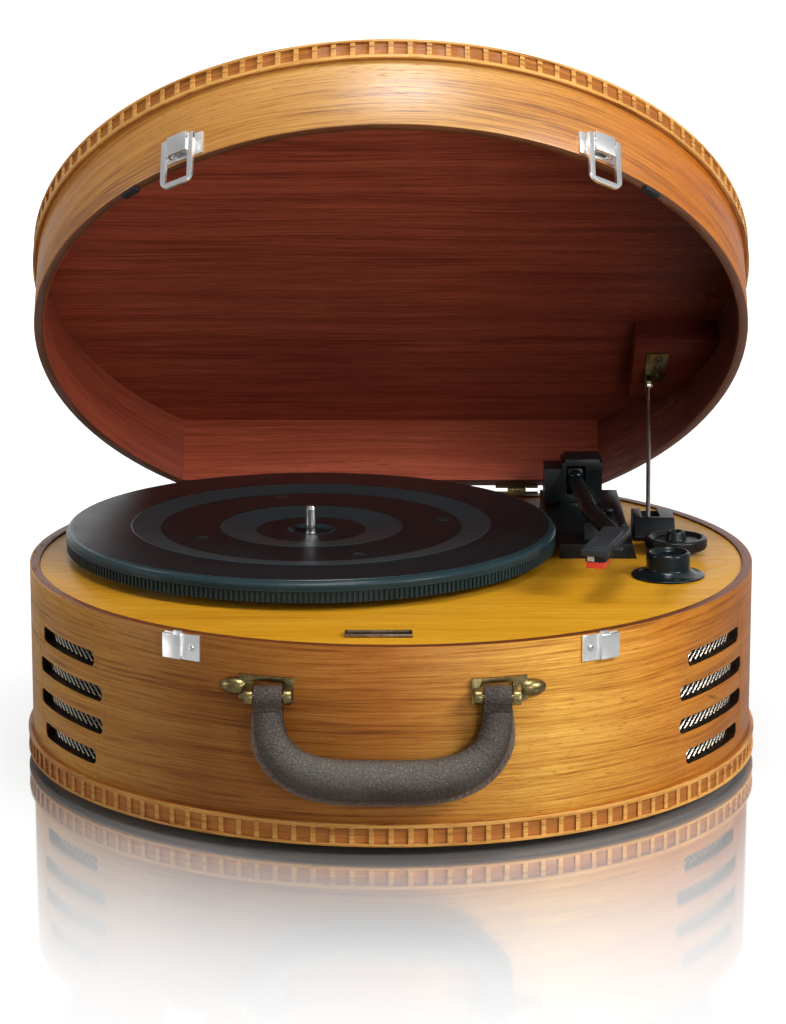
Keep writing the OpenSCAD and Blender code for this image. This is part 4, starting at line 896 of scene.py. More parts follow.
    @classmethod
    def lathed(cls, name: str, middle: Vector, outline: Sequence[Pair], steps: int) -> Piece:
        """Turns a closed outline about an upright axis.

        Args:
            name: The piece's name.
            middle: A point of the axis at height 0.
            outline: Distance from the axis and height of each corner, in order.
            steps: Sections in a full turn.

        Returns:
            The turned piece.
        """
        first, last = outline[0], outline[0]
        piece = cls.primitive(name, bpy.ops.mesh.primitive_plane_add, size=0.001,
                              location=middle + Vector((first[0], 0.0, first[1])))
        with cls.editing(piece):
            bpy.ops.mesh.select_all(action="SELECT")
            bpy.ops.mesh.merge(type="CENTER")
            for corner in (*outline[1:], first):
                step = (corner[0] - last[0], 0.0, corner[1] - last[1])
                bpy.ops.mesh.extrude_vertices_move(TRANSFORM_OT_translate={"value": step})
                last = corner
            bpy.ops.mesh.select_all(action="SELECT")
            bpy.ops.mesh.remove_doubles(threshold=1e-6)
            bpy.ops.mesh.spin(steps=steps, angle=2 * math.pi, center=middle, axis=(0.0, 0.0, 1.0))
            bpy.ops.mesh.select_all(action="SELECT")
            bpy.ops.mesh.remove_doubles(threshold=cls.same_place)
            bpy.ops.mesh.normals_make_consistent(inside=False)
        return piece

    @classmethod
    def joined(cls, name: str, *pieces: Piece) -> Piece:
        """Joins pieces into the first one.

        Args:
            name: The joined piece's name.
            pieces: The pieces; all but the first are taken away.

        Returns:
            The joined piece.
        """
        cls.only(*pieces)
        bpy.ops.object.join()
        pieces[0].name = name
        pieces[0].data.name = name
        return pieces[0]

    @classmethod
    def copied(cls, first: Piece, places: Sequence[Matrix], name: str) -> Piece:
        """Sets copies of one shape in their places and joins them.

        Args:
            first: The shape, about the origin; it is taken away.
            places: Where each copy goes.
            name: The joined piece's name.

        Returns:
            The joined piece.
        """
        copies = []
        for place in places:
            copy = first.copy()
            copy.data = first.data.copy()
            copy.data.transform(place)
            bpy.context.scene.collection.objects.link(copy)
            copies.append(copy)
        bpy.data.objects.remove(first)
        return cls.joined(name, *copies)

    @classmethod
    def grid(cls, name: str, across: int, along: int) -> Piece:
        """Adds a flat grid to shape, one metre each way about the origin."""
        return cls.primitive(name, bpy.ops.mesh.primitive_grid_add, x_subdivisions=across,
                             y_subdivisions=along, size=1.0)


@dataclass
class Case:
    """The round case: walls, trim, deck, badge and feet."""

    wall_edge: Edge = Edge(0.0005)
    trim_edge: Edge = Edge(0.00035)
    deck_edge: Edge = Edge(0.0004)
    foot_edge: Edge = Edge(0.0008)
    badge_at: Point = (-0.007, -0.191, 0.1195)
    badge: Point = (0.038, 0.010, 0.0022)
    badge_edge: float = 0.0004
    border: float = 0.0009
    border_slope: float = 0.0002
    sunk: float = 0.0005

    def badge_piece(self) -> Piece:
        """Makes the blank badge: a small plate with a raised border.

        Returns:
            The badge.
        """
        wide, deep, tall = self.badge
        middle = PLAN.row(self.badge_at[0], self.badge_at[1], self.badge_at[2] + tall / 2)
        piece = Bench.plate("blank_badge", middle, self.badge, self.badge_edge)
        with Bench.editing(piece) as mesh:
            bpy.ops.mesh.select_mode(type="FACE")
            for face in mesh.faces:
                face.select = face.normal.z > 0.99 and face.calc_area() > 0.5 * wide * deep
            bpy.ops.mesh.inset(thickness=self.border, depth=0.0)
            bpy.ops.mesh.inset(thickness=self.border_slope, depth=-self.sunk)
            bpy.ops.mesh.select_mode(type="VERT")
        return Bench.smoothed(piece)

    def build(self) -> None:
        """Dresses the case."""
        Bench.eased("case_wall", "oak_case", self.wall_edge)
        Bench.eased("case_rear_wall", "oak_back", self.wall_edge)
        Bench.eased("base_trim", "oak_base_trim", self.trim_edge)
        Bench.eased("deck_board", "golden_deck", self.deck_edge)
        Bench.placed(self.badge_piece(), "badge_nickel", "case", "badge", "badge_plate")
        Bench.dressed("bottom_panel", "plain_board")
        Bench.dressed("deck_ledge", "plain_board")
        Bench.eased("feet", "rubber", self.foot_edge)


@dataclass
class Lid:
    """The hinged lid: walls, trim, lining, bumpers and hinges."""

    wall_edge: Edge = Edge(0.0005)
    trim_edge: Edge = Edge(0.00035)
    bumper_edge: Edge = Edge(0.0006)
    hinge_edge: Edge = Edge(0.0003)

    def build(self) -> None:
        """Dresses the lid and its hinges."""
        Bench.eased("lid_wall", "oak_lid", self.wall_edge)
        Bench.eased("lid_rear_wall", "oak_lid_back", self.wall_edge)
        Bench.eased("lid_trim", "oak_lid_trim", self.trim_edge)
        Bench.dressed("lid_top_panel", "oak_lid_top")
        Bench.eased("lid_bumpers", "rubber", self.bumper_edge)
        for node in ("hinge_case_leaves", "hinge_lid_leaves"):
            Bench.eased(node, "old_brass", self.hinge_edge)
        Bench.dressed("hinge_pins", "steel")


@dataclass
class LidStay:
    """The rod stay: its block and bracket in the lid, the rod and its guide on the deck."""

    block_edge: Edge = Edge(0.0008)
    bracket_edge: Edge = Edge(0.0003, finish="worn_brass")
    guide_edge: Edge = Edge(0.0012, 3)

    def build(self) -> None:
        """Dresses the stay."""
        Bench.eased("stay_block", "red_lining", self.block_edge)
        Bench.eased("stay_bracket", "old_brass", self.bracket_edge)
        Bench.dressed("stay_rod", "steel")
        Bench.eased("stay_guide", "black_moulding", self.guide_edge)


@dataclass
class Speakers:
    """Two slotted speakers: a curved wire mesh in front of a driver on its board."""

    turn: float = math.radians(60.0)
    mesh_r: float = 0.2132
    half: float = 0.0465
    low: float = 0.0185
    high: float = 0.1045
    cell: Pair = (0.0062, 0.0046)
    wire: float = 0.0010

    def mesh_side(self, side: int) -> Piece:
        """Makes one speaker's curved mesh of diamonds.

        Args:
            side: 1 for the right-hand speaker, -1 for the left-hand one.

        Returns:
            The mesh.
        """
        across = round(2 * self.half / self.cell[0])
        along = round((self.high - self.low) / self.cell[1])
        piece = Bench.grid(f"speaker_mesh_{'right' if side > 0 else 'left'}", across, along)
        with Bench.editing(piece):
            bpy.ops.mesh.select_all(action="SELECT")
            bpy.ops.mesh.poke()
            bpy.ops.mesh.select_all(action="DESELECT")
            bpy.ops.mesh.select_mode(type="EDGE")
            for edge in bmesh.from_edit_mesh(piece.data).edges:
                run = edge.verts[1].co - edge.verts[0].co
                edge.select = not edge.is_boundary and min(abs(run.x), abs(run.y)) < 1e-6
            bpy.ops.mesh.dissolve_edges(use_verts=False)
            bpy.ops.mesh.select_mode(type="VERT")
        for vertex in piece.data.vertices:
            angle = side * self.turn + vertex.co.x * 2 * self.half / self.mesh_r
            height = self.low + (vertex.co.y + 0.5) * (self.high - self.low)
            vertex.co = PLAN.row(self.mesh_r * math.sin(angle), -self.mesh_r * math.cos(angle), height)
        Bench.modified(piece, "WIREFRAME", thickness=self.wire, use_replace=True, use_even_offset=True)
        return piece

    def build(self) -> None:
        """Makes the meshes and dresses the drivers."""
        mesh = Bench.joined("speaker_mesh", self.mesh_side(-1), self.mesh_side(1))
        Bench.placed(mesh, "mesh_steel", "case", "mesh", "speaker_grilles")
        Bench.dressed("speaker_baffles", "matt_black")
        Bench.dressed("speaker_frames", "matt_black")
        Bench.dressed("speaker_cones", "cone_pulp")


@dataclass
class Latches:
    """Two draw latches: catch on the case, base, lever and loop on the lid, with their screws."""

    catch_edge: Edge = Edge(0.0006, 3)
    base_edge: Edge = Edge(0.0003)
    lever_edge: Edge = Edge(0.0006, 3)
    loop_edge: Edge = Edge(0.0005, 3)

    def build(self) -> None:
        """Dresses the latches."""
        Bench.eased("latch_catches", "chrome", self.catch_edge)
        Bench.eased("latch_bases", "chrome", self.base_edge)
        for side in ("left", "right"):
            Bench.eased(f"latch_lever_{side}", "chrome", self.lever_edge)
            Bench.eased(f"latch_loop_{side}", "chrome", self.loop_edge)
        Bench.dressed("case_screws", "steel")
        Bench.dressed("lid_screws", "dark_nickel")


@dataclass
class Handle:
    """The leather carrying handle on two aged brass brackets."""

    middle_x: float = -0.0045
    half: float = 0.0635
    pin_y: float = -0.22176
    pin_z: float = 0.0925
    grip_y: float = -0.2322
    drop: float = 0.045
    power: float = 3.4
    top: float = 0.0070
    leg: Pair = (0.017, 0.013)
    grip: Pair = (0.023, 0.022)
    swell: float = 1.5
    roundness: float = 0.9
    open_angle: float = 0.36
    groove: float = 0.0022
    lip: float = 0.0032
    lip_sunk: float = 0.0002
    lip_fade: float = 0.10
    lip_root: float = 0.0016
    lip_shoulder: float = 0.0014
    lip_round: float = 0.0006
    steps: int = 132
    around: int = 44
    seam: int = 8
    fine: int = 3000
    nudge: float = 0.01
    length: float = 0.175
    tight_bend: float = 2.2
    # Direction from which the grip's painted light falls.
    painted_light_from: Point = (0.15, -0.70, 0.70)
    stitch: Point = (0.0027, 0.0009, 0.0009)
    stitch_pitch: float = 0.0035
    stitch_out: float = 0.00155
    unsewn: int = 6
    loop_edge: Edge = Edge(0.0016, 3)
    bracket_edge: Edge = Edge(0.0005, 2, 50.0, "worn_brass")

    def line(self, t: float) -> Vector:
        """Gives a point of the grip's middle line, from the pins' middle.

        Args:
            t: How far round the line, from 0 to minus a half turn, in radians.

        Returns:
            The point.
        """
        c, s = math.cos(t), math.sin(t)
        x = self.half * signed_power(c, 2 / self.power)
        z = self.drop * signed_power(s, 2 / self.power)
        return Vector((x, (self.grip_y - self.pin_y) * s * s, z))

    def route(self) -> list[float]:
        """Spaces the sections evenly along the middle line.

        Returns:
            The turn of each section.
        """
        skip = math.asin((self.top / self.drop) ** (self.power / 2))
        fine = [-skip + i * (2 * skip - math.pi) / self.fine for i in range(self.fine + 1)]
        run = [0.0]
        for a, b in zip(fine, fine[1:]):
            run.append(run[-1] + (self.line(b) - self.line(a)).length)
        turns, k = [], 0
        for i in range(self.steps + 1):
            goal = run[-1] * i / self.steps
            while k < self.fine - 1 and run[k + 1] < goal:
                k += 1
            share = (goal - run[k]) / max(run[k + 1] - run[k], 1e-12)
            turns.append(fine[k] + share * (fine[k + 1] - fine[k]))
        return turns

    def frame(self, t: float) -> tuple[Vector, Vector, float, float]:
        """Finds where a section sits and how big it is.

        Args:
            t: How far round the line, as for line.

        Returns:
            The section's middle, its outward direction, its height and its thickness.
        """
        d = self.line(t - self.nudge) - self.line(t + self.nudge)
        flat = Vector((d.x, 0.0, d.z)).normalized()
        swell = abs(math.sin(t)) ** self.swell
        wide = self.leg[0] + (self.grip[0] - self.leg[0]) * swell
        thick = self.leg[1] + (self.grip[1] - self.leg[1]) * swell
        return self.line(t), Vector((-flat.z, 0.0, flat.x)), wide, thick

    def bend(self, t: float) -> float:
        """Finds how tightly the line bends.

        Args:
            t: How far round the line, as for line.

        Returns:
            From 0, straight, to 1, tight.
        """
        step = 2 * self.nudge
        before, after = self.frame(t - step)[1], self.frame(t + step)[1]
        return min(1.0, abs(before.angle(after)) / (2 * step) / self.tight_bend)

    def profile(self, wide: float, thick: float, lip: float) -> list[Pair]:
        """Draws a section: a full round with a groove and a thin sewn edge on its outer side.

        Args:
            wide: Height of the section.
            thick: Thickness of the section.
            lip: How far the sewn edge stands out.

        Returns:
            Points outwards and towards the back.
        """
        points = []
        body = self.around - self.seam
        for i in range(body):
            a = self.open_angle + i * (2 * math.pi - 2 * self.open_angle) / (body - 1)
            out = 0.5 * wide * signed_power(math.cos(a), self.roundness)
            points.append((out, 0.5 * thick * signed_power(math.sin(a), self.roundness)))
        root = 0.5 * wide - self.lip_sunk - 0.5 * lip
        tip = 0.5 * wide - self.lip_sunk + lip
        side = [(root, self.groove), (root, self.lip_root), (tip - self.lip_round, self.lip_shoulder),
                (tip, self.lip_round)]
        return points + [(p, -q) for p, q in side] + side[::-1]

    def place(self, at: Vector, out: Vector, p: float, q: float) -> Vector:
        """Puts a section's point in its place on the part."""
        local = at + out * p + Vector((0.0, q, 0.0))
        return PLAN.row(local.x + self.middle_x, local.y + self.pin_y, local.z + self.pin_z)

    def grip_piece(self) -> Piece:
        """Sweeps the leather grip with its sewn edge, and notes where it bends and how much painted light
        falls on each point.

        Returns:
            The grip.
        """
        piece = Bench.grid("leather_grip", self.around, self.steps)
        columns = self.around + 1
        runs, bends, wear_and_painted_light = [], [], []
        for j, t in enumerate(self.route()):
            at, out, wide, thick = self.frame(t)
            ends = min(j, self.steps - j) / self.steps
            section = self.profile(wide, thick, self.lip * min(1.0, ends / self.lip_fade))
            bend = self.bend(t)
            for i in range(columns):
                p, q = section[i % self.around]
                piece.data.vertices[j * columns + i].co = self.place(at, out, p, q)
                facing = out * (p / wide) + Vector((0.0, q / thick, 0.0))
                runs.append(j / self.steps * self.length)
                # Painted light: the more a point faces up and forward, the paler the hide paints it.
                wear_and_painted_light.append(0.5 + facing.normalized().dot(Vector(self.painted_light_from)) * 0.5)
                bends.append(bend * (0.35 + 0.65 * max(0.0, -p / (0.5 * wide))))
        Bench.painted(piece, "hide", "hide_edge", "hide_groove")
        # The groove beside the sewn edge gets the near-black finish: painted shade.
        for face in piece.data.polygons:
            past = face.index % self.around - (self.around - self.seam)
            if past >= -1:
                face.material_index = 1 if 1 <= past <= self.seam - 3 else 2
        for label, values in (("run", runs), ("bend", bends), ("wear_and_painted_light", wear_and_painted_light)):
            piece.data.attributes.new(label, "FLOAT", "POINT").data.foreach_set("value", values)
        with Bench.editing(piece):
            bpy.ops.mesh.select_all(action="SELECT")
            bpy.ops.mesh.remove_doubles(threshold=1e-6)
            bpy.ops.mesh.select_all(action="DESELECT")
            bpy.ops.mesh.select_non_manifold()
            bpy.ops.mesh.fill_holes(sides=0)
            bpy.ops.mesh.select_all(action="SELECT")
            bpy.ops.mesh.normals_make_consistent(inside=False)
        return Bench.smoothed(piece, 50.0)

    def stitches(self) -> Piece:
        """Sews a row of stitches along the edge, on its front and its back.

        Returns:
            The stitches.
        """
        first = Bench.primitive("stitch", bpy.ops.mesh.primitive_uv_sphere_add, segments=6, ring_count=5,
                                radius=0.5)
        turns = self.route()
        count = round(self.length / self.stitch_pitch)
        places = []
        for k in range(self.unsewn, count - self.unsewn + 1):
            at, out, wide, _ = self.frame(turns[round(k * self.steps / count)])
            along = Vector((out.z, 0.0, -out.x))
            turn = Matrix((along, Vector((0.0, 1.0, 0.0)), out)).transposed().to_4x4()
            for face in (-1, 1):
                spot = self.place(at, out, 0.5 * wide + 0.45 * self.lip, face * self.stitch_out)
                places.append(Matrix.Translation(spot) @ turn @ Matrix.Diagonal((*self.stitch, 1.0)))
        row = Bench.copied(first, places, "handle_stitches")
        with Bench.editing(row):
            bpy.ops.mesh.select_all(action="SELECT")
            bpy.ops.mesh.normals_make_consistent(inside=False)
        bpy.ops.object.shade_smooth()
        return row

    def build(self) -> None:
        """Makes the leather and dresses the brackets."""
        grip = Bench.placed(self.grip_piece(), "hide", "handle", "leather", "handle_grip")
        Bench.placed(self.stitches(), "thread", "handle", "leather")
        Bench.eased("handle_end_loops", "hide_loop", self.loop_edge)
        Bench.eased("handle_brackets", "old_brass", self.bracket_edge)
        Bench.dressed("handle_pins", "old_brass")


@dataclass
class Drive:
    """Platter, spindle, bearing, motor, pulley and belt."""

    middle: Pair = (-0.049, 0.0115)
    top: float = 0.1375
    low: float = 0.1245
    outer: float = 0.150
    sections: int = 288
    step: float = 0.002
    plate: float = 0.0025
    bore_r: float = 0.00411
    hub_r: float = 0.012
    hub_low: float = 0.1223
    belt_ring: Pair = (0.059, 0.062)
    belt_low: float = 0.12275
    cup_floor: float = 0.132
    under_steps: tuple[Pair, Pair] = ((0.034, 0.055), (0.092, 0.109))
    slopes: tuple[tuple[float, ...], ...] = (
        (0.1102, 0.1098, 0.1094, 0.1088, 0.0924, 0.0915),
        (0.0560, 0.0556, 0.0552, 0.0546, 0.0345, 0.0337),
        (0.0150, 0.0147, 0.0143, 0.0139, 0.0112, 0.0108),
    )
    bead: float = 0.0002
    ease: float = 0.0001
    rim: tuple[Pair, ...] = (
        (0.0003, 0.0), (0.0, 0.0003), (0.0, 0.0012), (0.0003, 0.0014), (0.0003, 0.0018), (0.0, 0.0020),
        (0.0, 0.0036), (0.0004, 0.0042),
    )
    shoulder: tuple[Pair, ...] = (
        (0.0012, 0.0014), (0.0013, 0.0010), (0.0021, 0.0005), (0.0032, 0.0002), (0.0034, 0.0003),
        (0.0038, 0.0003), (0.0041, 0.0),
    )
    skirt_in: float = 0.004
    tooth_root: float = 0.0016
    rings: tuple[Pair, ...] = ((0.0920, 0.1112), (0.0340, 0.0562), (0.0110, 0.0151))
    ring_depth: float = 0.007
    rim_band: float = 0.0042
    teeth: int = 300
    tooth: Point = (0.0016, 0.0013, 0.0065)
    tooth_sunk: float = 0.0006
    tooth_gap: float = 0.0004
    tooth_edge: float = 0.0004
    pits: tuple[Pair, ...] = ((12.0, 0.083), (104.0, 0.084), (206.0, 0.072), (292.0, 0.080))
    pit_r: float = 0.0034
    pit_proud: float = 0.00025
    pit_border: float = 0.0008
    pit_slope: float = 0.0003
    pit_deep: float = 0.0004

    def outline(self) -> list[Pair]:
        """Draws half of the platter's section: hub, belt ring, skirt, ridged rim, beaded slopes and cup.

        Returns:
            Distance from the axis and height of each corner.
        """
        levels = (self.top, self.top - self.step, self.top - 2 * self.step, self.cup_floor)
        top, middle, low = (level - self.plate for level in levels[:3])
        r, foot, inner = self.outer, self.outer - self.tooth_root, self.outer - self.skirt_in
        skirt = self.low + self.tooth[2]
        ring_in, ring_out = self.belt_ring
        (step1_in, step1_out), (step2_in, step2_out) = self.under_steps
        corners = [(self.hub_r, self.hub_low), (self.hub_r, low), (step1_in, low), (step1_out, middle),
                   (ring_in, middle), (ring_in, self.belt_low), (ring_out, self.belt_low), (ring_out, middle),
                   (step2_in, middle), (step2_out, top), (inner, top), (inner, self.low), (foot, self.low),
                   (foot, skirt)]
        corners += [(r - back, skirt + up) for back, up in self.rim]
        corners += [(r - back, self.top - down) for back, down in self.shoulder]
        for slope, high, low in zip(self.slopes, levels, levels[1:]):
            rises = (high, high + self.bead, high + self.bead, high - self.ease, low + self.ease, low)
            corners += zip(slope, rises)
        return corners + [(self.bore_r, self.cup_floor), (self.bore_r, self.hub_low)]

    def tooth_ring(self, middle: Vector) -> Piece:
        """Sets the fine teeth round the platter's skirt.

        Args:
            middle: The platter's middle at height 0.

        Returns:
            The teeth.
        """
        wide, proud, tall = self.tooth
        deep = proud + self.tooth_sunk
        tooth = Bench.primitive("tooth", bpy.ops.mesh.primitive_cube_add, size=1.0,
                                scale=(deep, wide, tall - self.tooth_gap))
        with Bench.editing(tooth) as mesh:
            bpy.ops.mesh.select_mode(type="EDGE")
            for edge in mesh.edges:
                a, b = (vertex.co for vertex in edge.verts)
                edge.select = min(a.x, b.x) > 0.0 and a.z != b.z
            bpy.ops.mesh.bevel(offset=self.tooth_edge, segments=1)
            bpy.ops.mesh.select_mode(type="VERT")
        reach = self.outer - self.rim[0][0] - 0.5 * deep
        out = Matrix.Translation((reach, 0.0, self.low + 0.5 * tall))
        places = []
        for i in range(self.teeth):
            turn = Matrix.Rotation(2 * math.pi * i / self.teeth, 4, "Z")
            places.append(Matrix.Translation(middle) @ turn @ out)
        return Bench.copied(tooth, places, "platter_teeth")

    def pit_row(self, middle: Vector) -> Piece:
        """Sets the small round pits in the platter's lower step.

        Args:
            middle: The platter's middle at height 0.

        Returns:
            The pits.
        """
        pit = Bench.primitive("pit", bpy.ops.mesh.primitive_circle_add, vertices=20, radius=self.pit_r,
                              fill_type="NGON")
        with Bench.editing(pit):
            bpy.ops.mesh.select_all(action="SELECT")
            bpy.ops.mesh.extrude_region_move(TRANSFORM_OT_translate={"value": (0.0, 0.0, self.pit_proud)})
            bpy.ops.mesh.select_mode(type="FACE")
            bpy.ops.mesh.inset(thickness=self.pit_border, depth=0.0)
            bpy.ops.mesh.inset(thickness=self.pit_slope, depth=-self.pit_deep)
            bpy.ops.mesh.select_mode(type="VERT")
        places = []
        for turn, reach in self.pits:
            angle = math.radians(turn)
            height = self.top - self.step - self.ease
            spot = Vector((reach * math.cos(angle), reach * math.sin(angle), height))
            places.append(Matrix.Translation(middle + spot))
        return Bench.copied(pit, places, "platter_pits")

    def platter(self) -> Piece:
        """Turns the platter, adds its teeth and pits, and paints a lighter sheen on its ring slopes, pits,
        rim band and teeth.

        Returns:
            The platter.
        """
        middle = PLAN.row(*self.middle, 0.0)
        plate = Bench.lathed("ridged_platter", middle, self.outline(), self.sections)
        Bench.smoothed(plate, 3.0)
        teeth = self.tooth_ring(middle)
        pits = self.pit_row(middle)
        Bench.painted(plate, "platter_black")
        # The teeth and pits get the lighter copies: painted sheen.
        Bench.painted(teeth, "skirt_painted_sheen")
        Bench.painted(pits, "ring_painted_sheen")
        Bench.joined("ridged_platter", plate, teeth, pits)
        # The ring slopes and the rim band get the lighter copies: painted sheen.
        for face in plate.data.polygons:
            place = face.center - middle
            reach = math.hypot(place.x, place.y)
            if face.material_index:
                continue
            if place.z > self.top - self.ring_depth and any(a < reach < b for a, b in self.rings):
                face.material_index = 2
            elif reach > self.outer - self.rim_band and place.z < self.top - self.ease:
                face.material_index = 1
        return plate

    def build(self) -> None:
        """Makes the platter and dresses the drive."""
        Bench.placed(self.platter(), "platter_black", "platter", "black_plastic", "platter")
        Bench.dressed("spindle", "steel")
        Bench.dressed("bearing_bush", "old_brass")
        Bench.dressed("motor", "steel")
        Bench.dressed("motor_pulley", "old_brass")
        Bench.dressed("drive_belt", "rubber")


@dataclass
class Tonearm:
    """Plinth, pivot, arm, head and its needle, with the cue lever and the speed switch."""

    pivot: Point = (0.118, 0.112, 0.1445)
    head: Pair = (0.1344, -0.062)
    head_turn: float = math.radians(-16.0)
    mark_at: Point = (-0.0027, -0.060, 0.1462)
    mark: Point = (0.0042, 0.0007, 0.0027)
    mark_edge: float = 0.0002
    cap_at: Point = (0.0, -0.0135, 0.0032)
    cap_r: float = 0.0044
    slot_half: float = 0.0005
    slot_deep: float = 0.0005
    slot_slope: float = 0.00008
    plinth_edge: Edge = Edge(0.0010, 3)
    yoke_edge: Edge = Edge(0.0009, 3)
    weight_edge: Edge = Edge(0.0008, 3)
    shell_edge: Edge = Edge(0.0007, 3)
    round_edge: Edge = Edge(0.0005, 2, 50.0)
    small_edge: Edge = Edge(0.0005)
    lever_edge: Edge = Edge(0.0004)

    def cartridge_mark(self) -> Piece:
        """Makes the small white plate on the front of the cartridge.

        Returns:
            The plate.
        """
        x, y, z = self.mark_at
        turn = Matrix.Rotation(self.head_turn, 3, "Z")
        spot = turn @ Vector((x, y, 0.0)) + Vector((*self.head, 0.0))
        middle = PLAN.row(spot.x, spot.y, z)
        return Bench.plate("cartridge_mark", middle, self.mark, self.mark_edge, self.head_turn)

    def pivot_cap(self) -> Piece:
        """Makes the round slotted cap at the root of the tube.

        Returns:
            The cap.
        """
        middle = PLAN.row(*(a + b for a, b in zip(self.pivot, self.cap_at)))
        piece = Bench.primitive("pivot_cap", bpy.ops.mesh.primitive_uv_sphere_add, segments=24, ring_count=16,
                                radius=self.cap_r, location=middle)
        with Bench.editing(piece) as mesh:
            bpy.ops.mesh.select_mode(type="FACE")
            for face in mesh.faces:
                place = face.calc_center_median() - middle
                near = place.y < -0.6 * self.cap_r
                face.select = near and min(abs(place.x), abs(place.z)) < self.slot_half
            bpy.ops.mesh.inset(thickness=self.slot_slope, depth=-self.slot_deep)
            bpy.ops.mesh.select_mode(type="VERT")
        return Bench.smoothed(piece, 40.0)

    def build(self) -> None:
        """Dresses the arm."""
        Bench.placed(self.cartridge_mark(), "needle_white", "tonearm", "grey_plastic")
        Bench.placed(self.pivot_cap(), "knob_black", "tonearm", "black_plastic")
        Bench.eased("arm_plinth", "black_moulding", self.plinth_edge)
        Bench.eased("arm_yoke", "black_moulding", self.yoke_edge)
        Bench.eased("arm_tube", "black_moulding", self.round_edge)
        Bench.eased("counterweight", "black_moulding", self.weight_edge)
        Bench.eased("headshell", "head_grey", self.shell_edge)
        Bench.eased("cartridge", "black_moulding", self.small_edge)
        Bench.eased("stylus", "needle_red", self.round_edge)
        Bench.eased("cue_lever", "black_moulding", self.lever_edge)
        Bench.eased("speed_switch", "black_moulding", self.small_edge)
        Bench.dressed("arm_pivot_post", "steel")


@dataclass
class Controls:
    """Volume knob and the adapter for large-holed records on its post."""

    round_edge: Edge = Edge(0.0004, 3, 25.0)

    def build(self) -> None:
        """Dresses the controls."""
        Bench.eased("volume_knob", "knob_black", self.round_edge)
        Bench.eased("adapter_45", "black_moulding", self.round_edge)
        Bench.dressed("adapter_post", "black_moulding")
        Bench.dressed("volume_pot", "steel")


@dataclass
class Back:
    """Jack panel and sockets in the rear board, and the amplifier board behind them."""

    panel_edge: Edge = Edge(0.0005)
    socket_edge: Edge = Edge(0.0003)

    def build(self) -> None:
        """Dresses the back."""
        Bench.eased("jack_panel", "black_moulding", self.panel_edge)
        Bench.eased("rear_sockets", "steel", self.socket_edge)
        Bench.dressed("amplifier_board", "circuit_green")


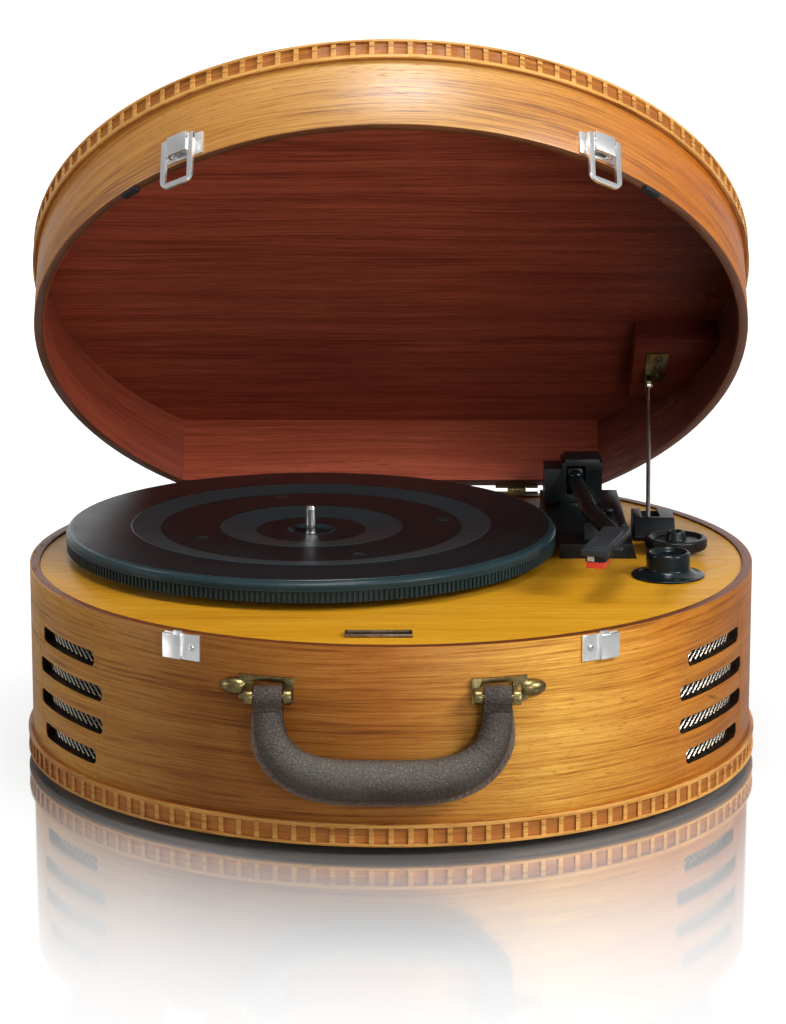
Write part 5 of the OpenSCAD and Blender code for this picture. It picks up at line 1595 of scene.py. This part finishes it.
@dataclass
class Studio:
    """A pale glossy floor, a white room, soft lamps and the camera."""

    eye: Point = (-0.0000864, -2.068405, 0.621309)
    pitch: float = 12.838
    yaw: float = 0.0354
    lens: float = 123.0
    sensor: float = 36.0
    lamps: tuple[tuple[Point, Point, float, float], ...] = (
        ((1.8, -1.3, 1.5), (0.0, 0.0, 0.15), 0.8, 50.0),
        ((-2.0, -0.4, 0.6), (0.0, 0.0, 0.10), 0.7, 9.0),
        ((0.12, -0.42, 2.2), (0.0, 0.0, 0.1), 0.7, 25.0),
        ((0.8, -2.3, 0.75), (0.0, 0.1, 0.2), 0.6, 11.0),
    )
    soft: float = 0.12
    above: float = 0.9
    front: float = 0.7
    sides: float = 0.35
    floor_size: float = 40.0
    floor_tone: Colour = (0.45, 0.45, 0.45)
    floor_rough: float = 0.06
    mirror: float = 0.82
    mirror_tone: float = 0.97
    white_from: float = 0.225
    white_at: float = 0.53
    white_power: float = 0.6

    def floor(self) -> None:
        """Lays the floor: white to the eye, with the object's shadow and a soft reflection."""
        piece = Bench.primitive("studio_floor", bpy.ops.mesh.primitive_plane_add, size=self.floor_size)
        material, g, shader = started("studio_floor")
        seen = g.add("ShaderNodeLightPath").outputs["Is Camera Ray"]
        x, y, _ = g.split(g.here())
        away = g.reach(x, g.minus(y, PLAN.shift_y))
        glow = g.math("POWER", g.span(away, self.white_from, self.white_at), self.white_power)
        shine = g.times(g.minus(1.0, glow), self.mirror_tone)
        g.put(shader.inputs["Base Color"], g.blend(seen, self.floor_tone, g.joined(shine, shine, shine)))
        g.put(shader.inputs["Metallic"], g.times(seen, self.mirror))
        shader.inputs["Roughness"].default_value = self.floor_rough
        shader.inputs["Emission Color"].default_value = (1.0, 1.0, 1.0, 1.0)
        g.put(shader.inputs["Emission Strength"], g.times(seen, glow))
        piece.data.materials.append(material)

    def room(self) -> None:
        """Fills the room with soft light, white to the eye and, dimmed by direction, in reflections."""
        world = bpy.data.worlds.new("studio_room")
        bpy.context.scene.world = world
        world.use_nodes = True
        g = Graph(world.node_tree)
        back = next(n for n in world.node_tree.nodes if n.type == "BACKGROUND")
        path = g.add("ShaderNodeLightPath")
        mirrored = g.most(path.outputs["Is Glossy Ray"], path.outputs["Is Transmission Ray"])
        side_way, back_way, rise = g.split(g.add("ShaderNodeTexCoord").outputs["Generated"])
        mirrored = g.times(mirrored, g.span(rise, 0.4, 0.7, 1.0, self.above))
        mirrored = g.times(mirrored, g.span(back_way, -0.3, 0.3, self.front, 1.0))
        mirrored = g.times(mirrored, g.span(g.math("ABSOLUTE", side_way), 0.35, 0.7, 1.0, self.sides))
        plain = g.most(path.outputs["Is Camera Ray"], mirrored)
        back.inputs["Color"].default_value = (1.0, 1.0, 1.0, 1.0)
        g.put(back.inputs["Strength"], g.most(self.soft, plain))

    def lamp(self, at: Point, towards: Point, size: float, power: float) -> None:
        """Hangs one soft square lamp.

        Args:
            at: Where it hangs.
            towards: The point that it faces.
            size: Length of its sides.
            power: Its power in watts.
        """
        light = bpy.data.lights.new("studio_lamp", "AREA")
        light.size = size
        light.energy = power
        holder = bpy.data.objects.new("studio_lamp", light)
        bpy.context.scene.collection.objects.link(holder)
        holder.location = at
        holder.rotation_euler = (Vector(towards) - Vector(at)).to_track_quat("-Z", "Y").to_euler()

    def camera(self) -> None:
        """Stands the camera where the photograph was taken."""
        data = bpy.data.cameras.new("studio_camera")
        data.lens = self.lens
        data.sensor_width = self.sensor
        data.sensor_fit = "AUTO"
        data.dof.use_dof = False
        holder = bpy.data.objects.new("studio_camera", data)
        bpy.context.scene.collection.objects.link(holder)
        holder.location = self.eye
        holder.rotation_euler = (math.radians(90.0 - self.pitch), 0.0, math.radians(-self.yaw))
        bpy.context.scene.camera = holder

    def build(self) -> None:
        """Sets the studio up."""
        self.camera()
        self.floor()
        self.room()
        for lamp in self.lamps:
            self.lamp(*lamp)
        bpy.context.scene.view_settings.view_transform = "Standard"


def main() -> None:
    """Builds the player piece by piece, then the studio."""
    logging.basicConfig(level=logging.INFO, format="%(message)s")
    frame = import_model()
    Bench.take(frame)
    parts = (Case(), Lid(), LidStay(), Speakers(), Latches(), Handle(), Drive(), Tonearm(), Controls(),
             Back(), Studio())
    for part in parts:
        LOG.info("%s", type(part).__name__)
        part.build()


if __name__ == "__main__":
    main()
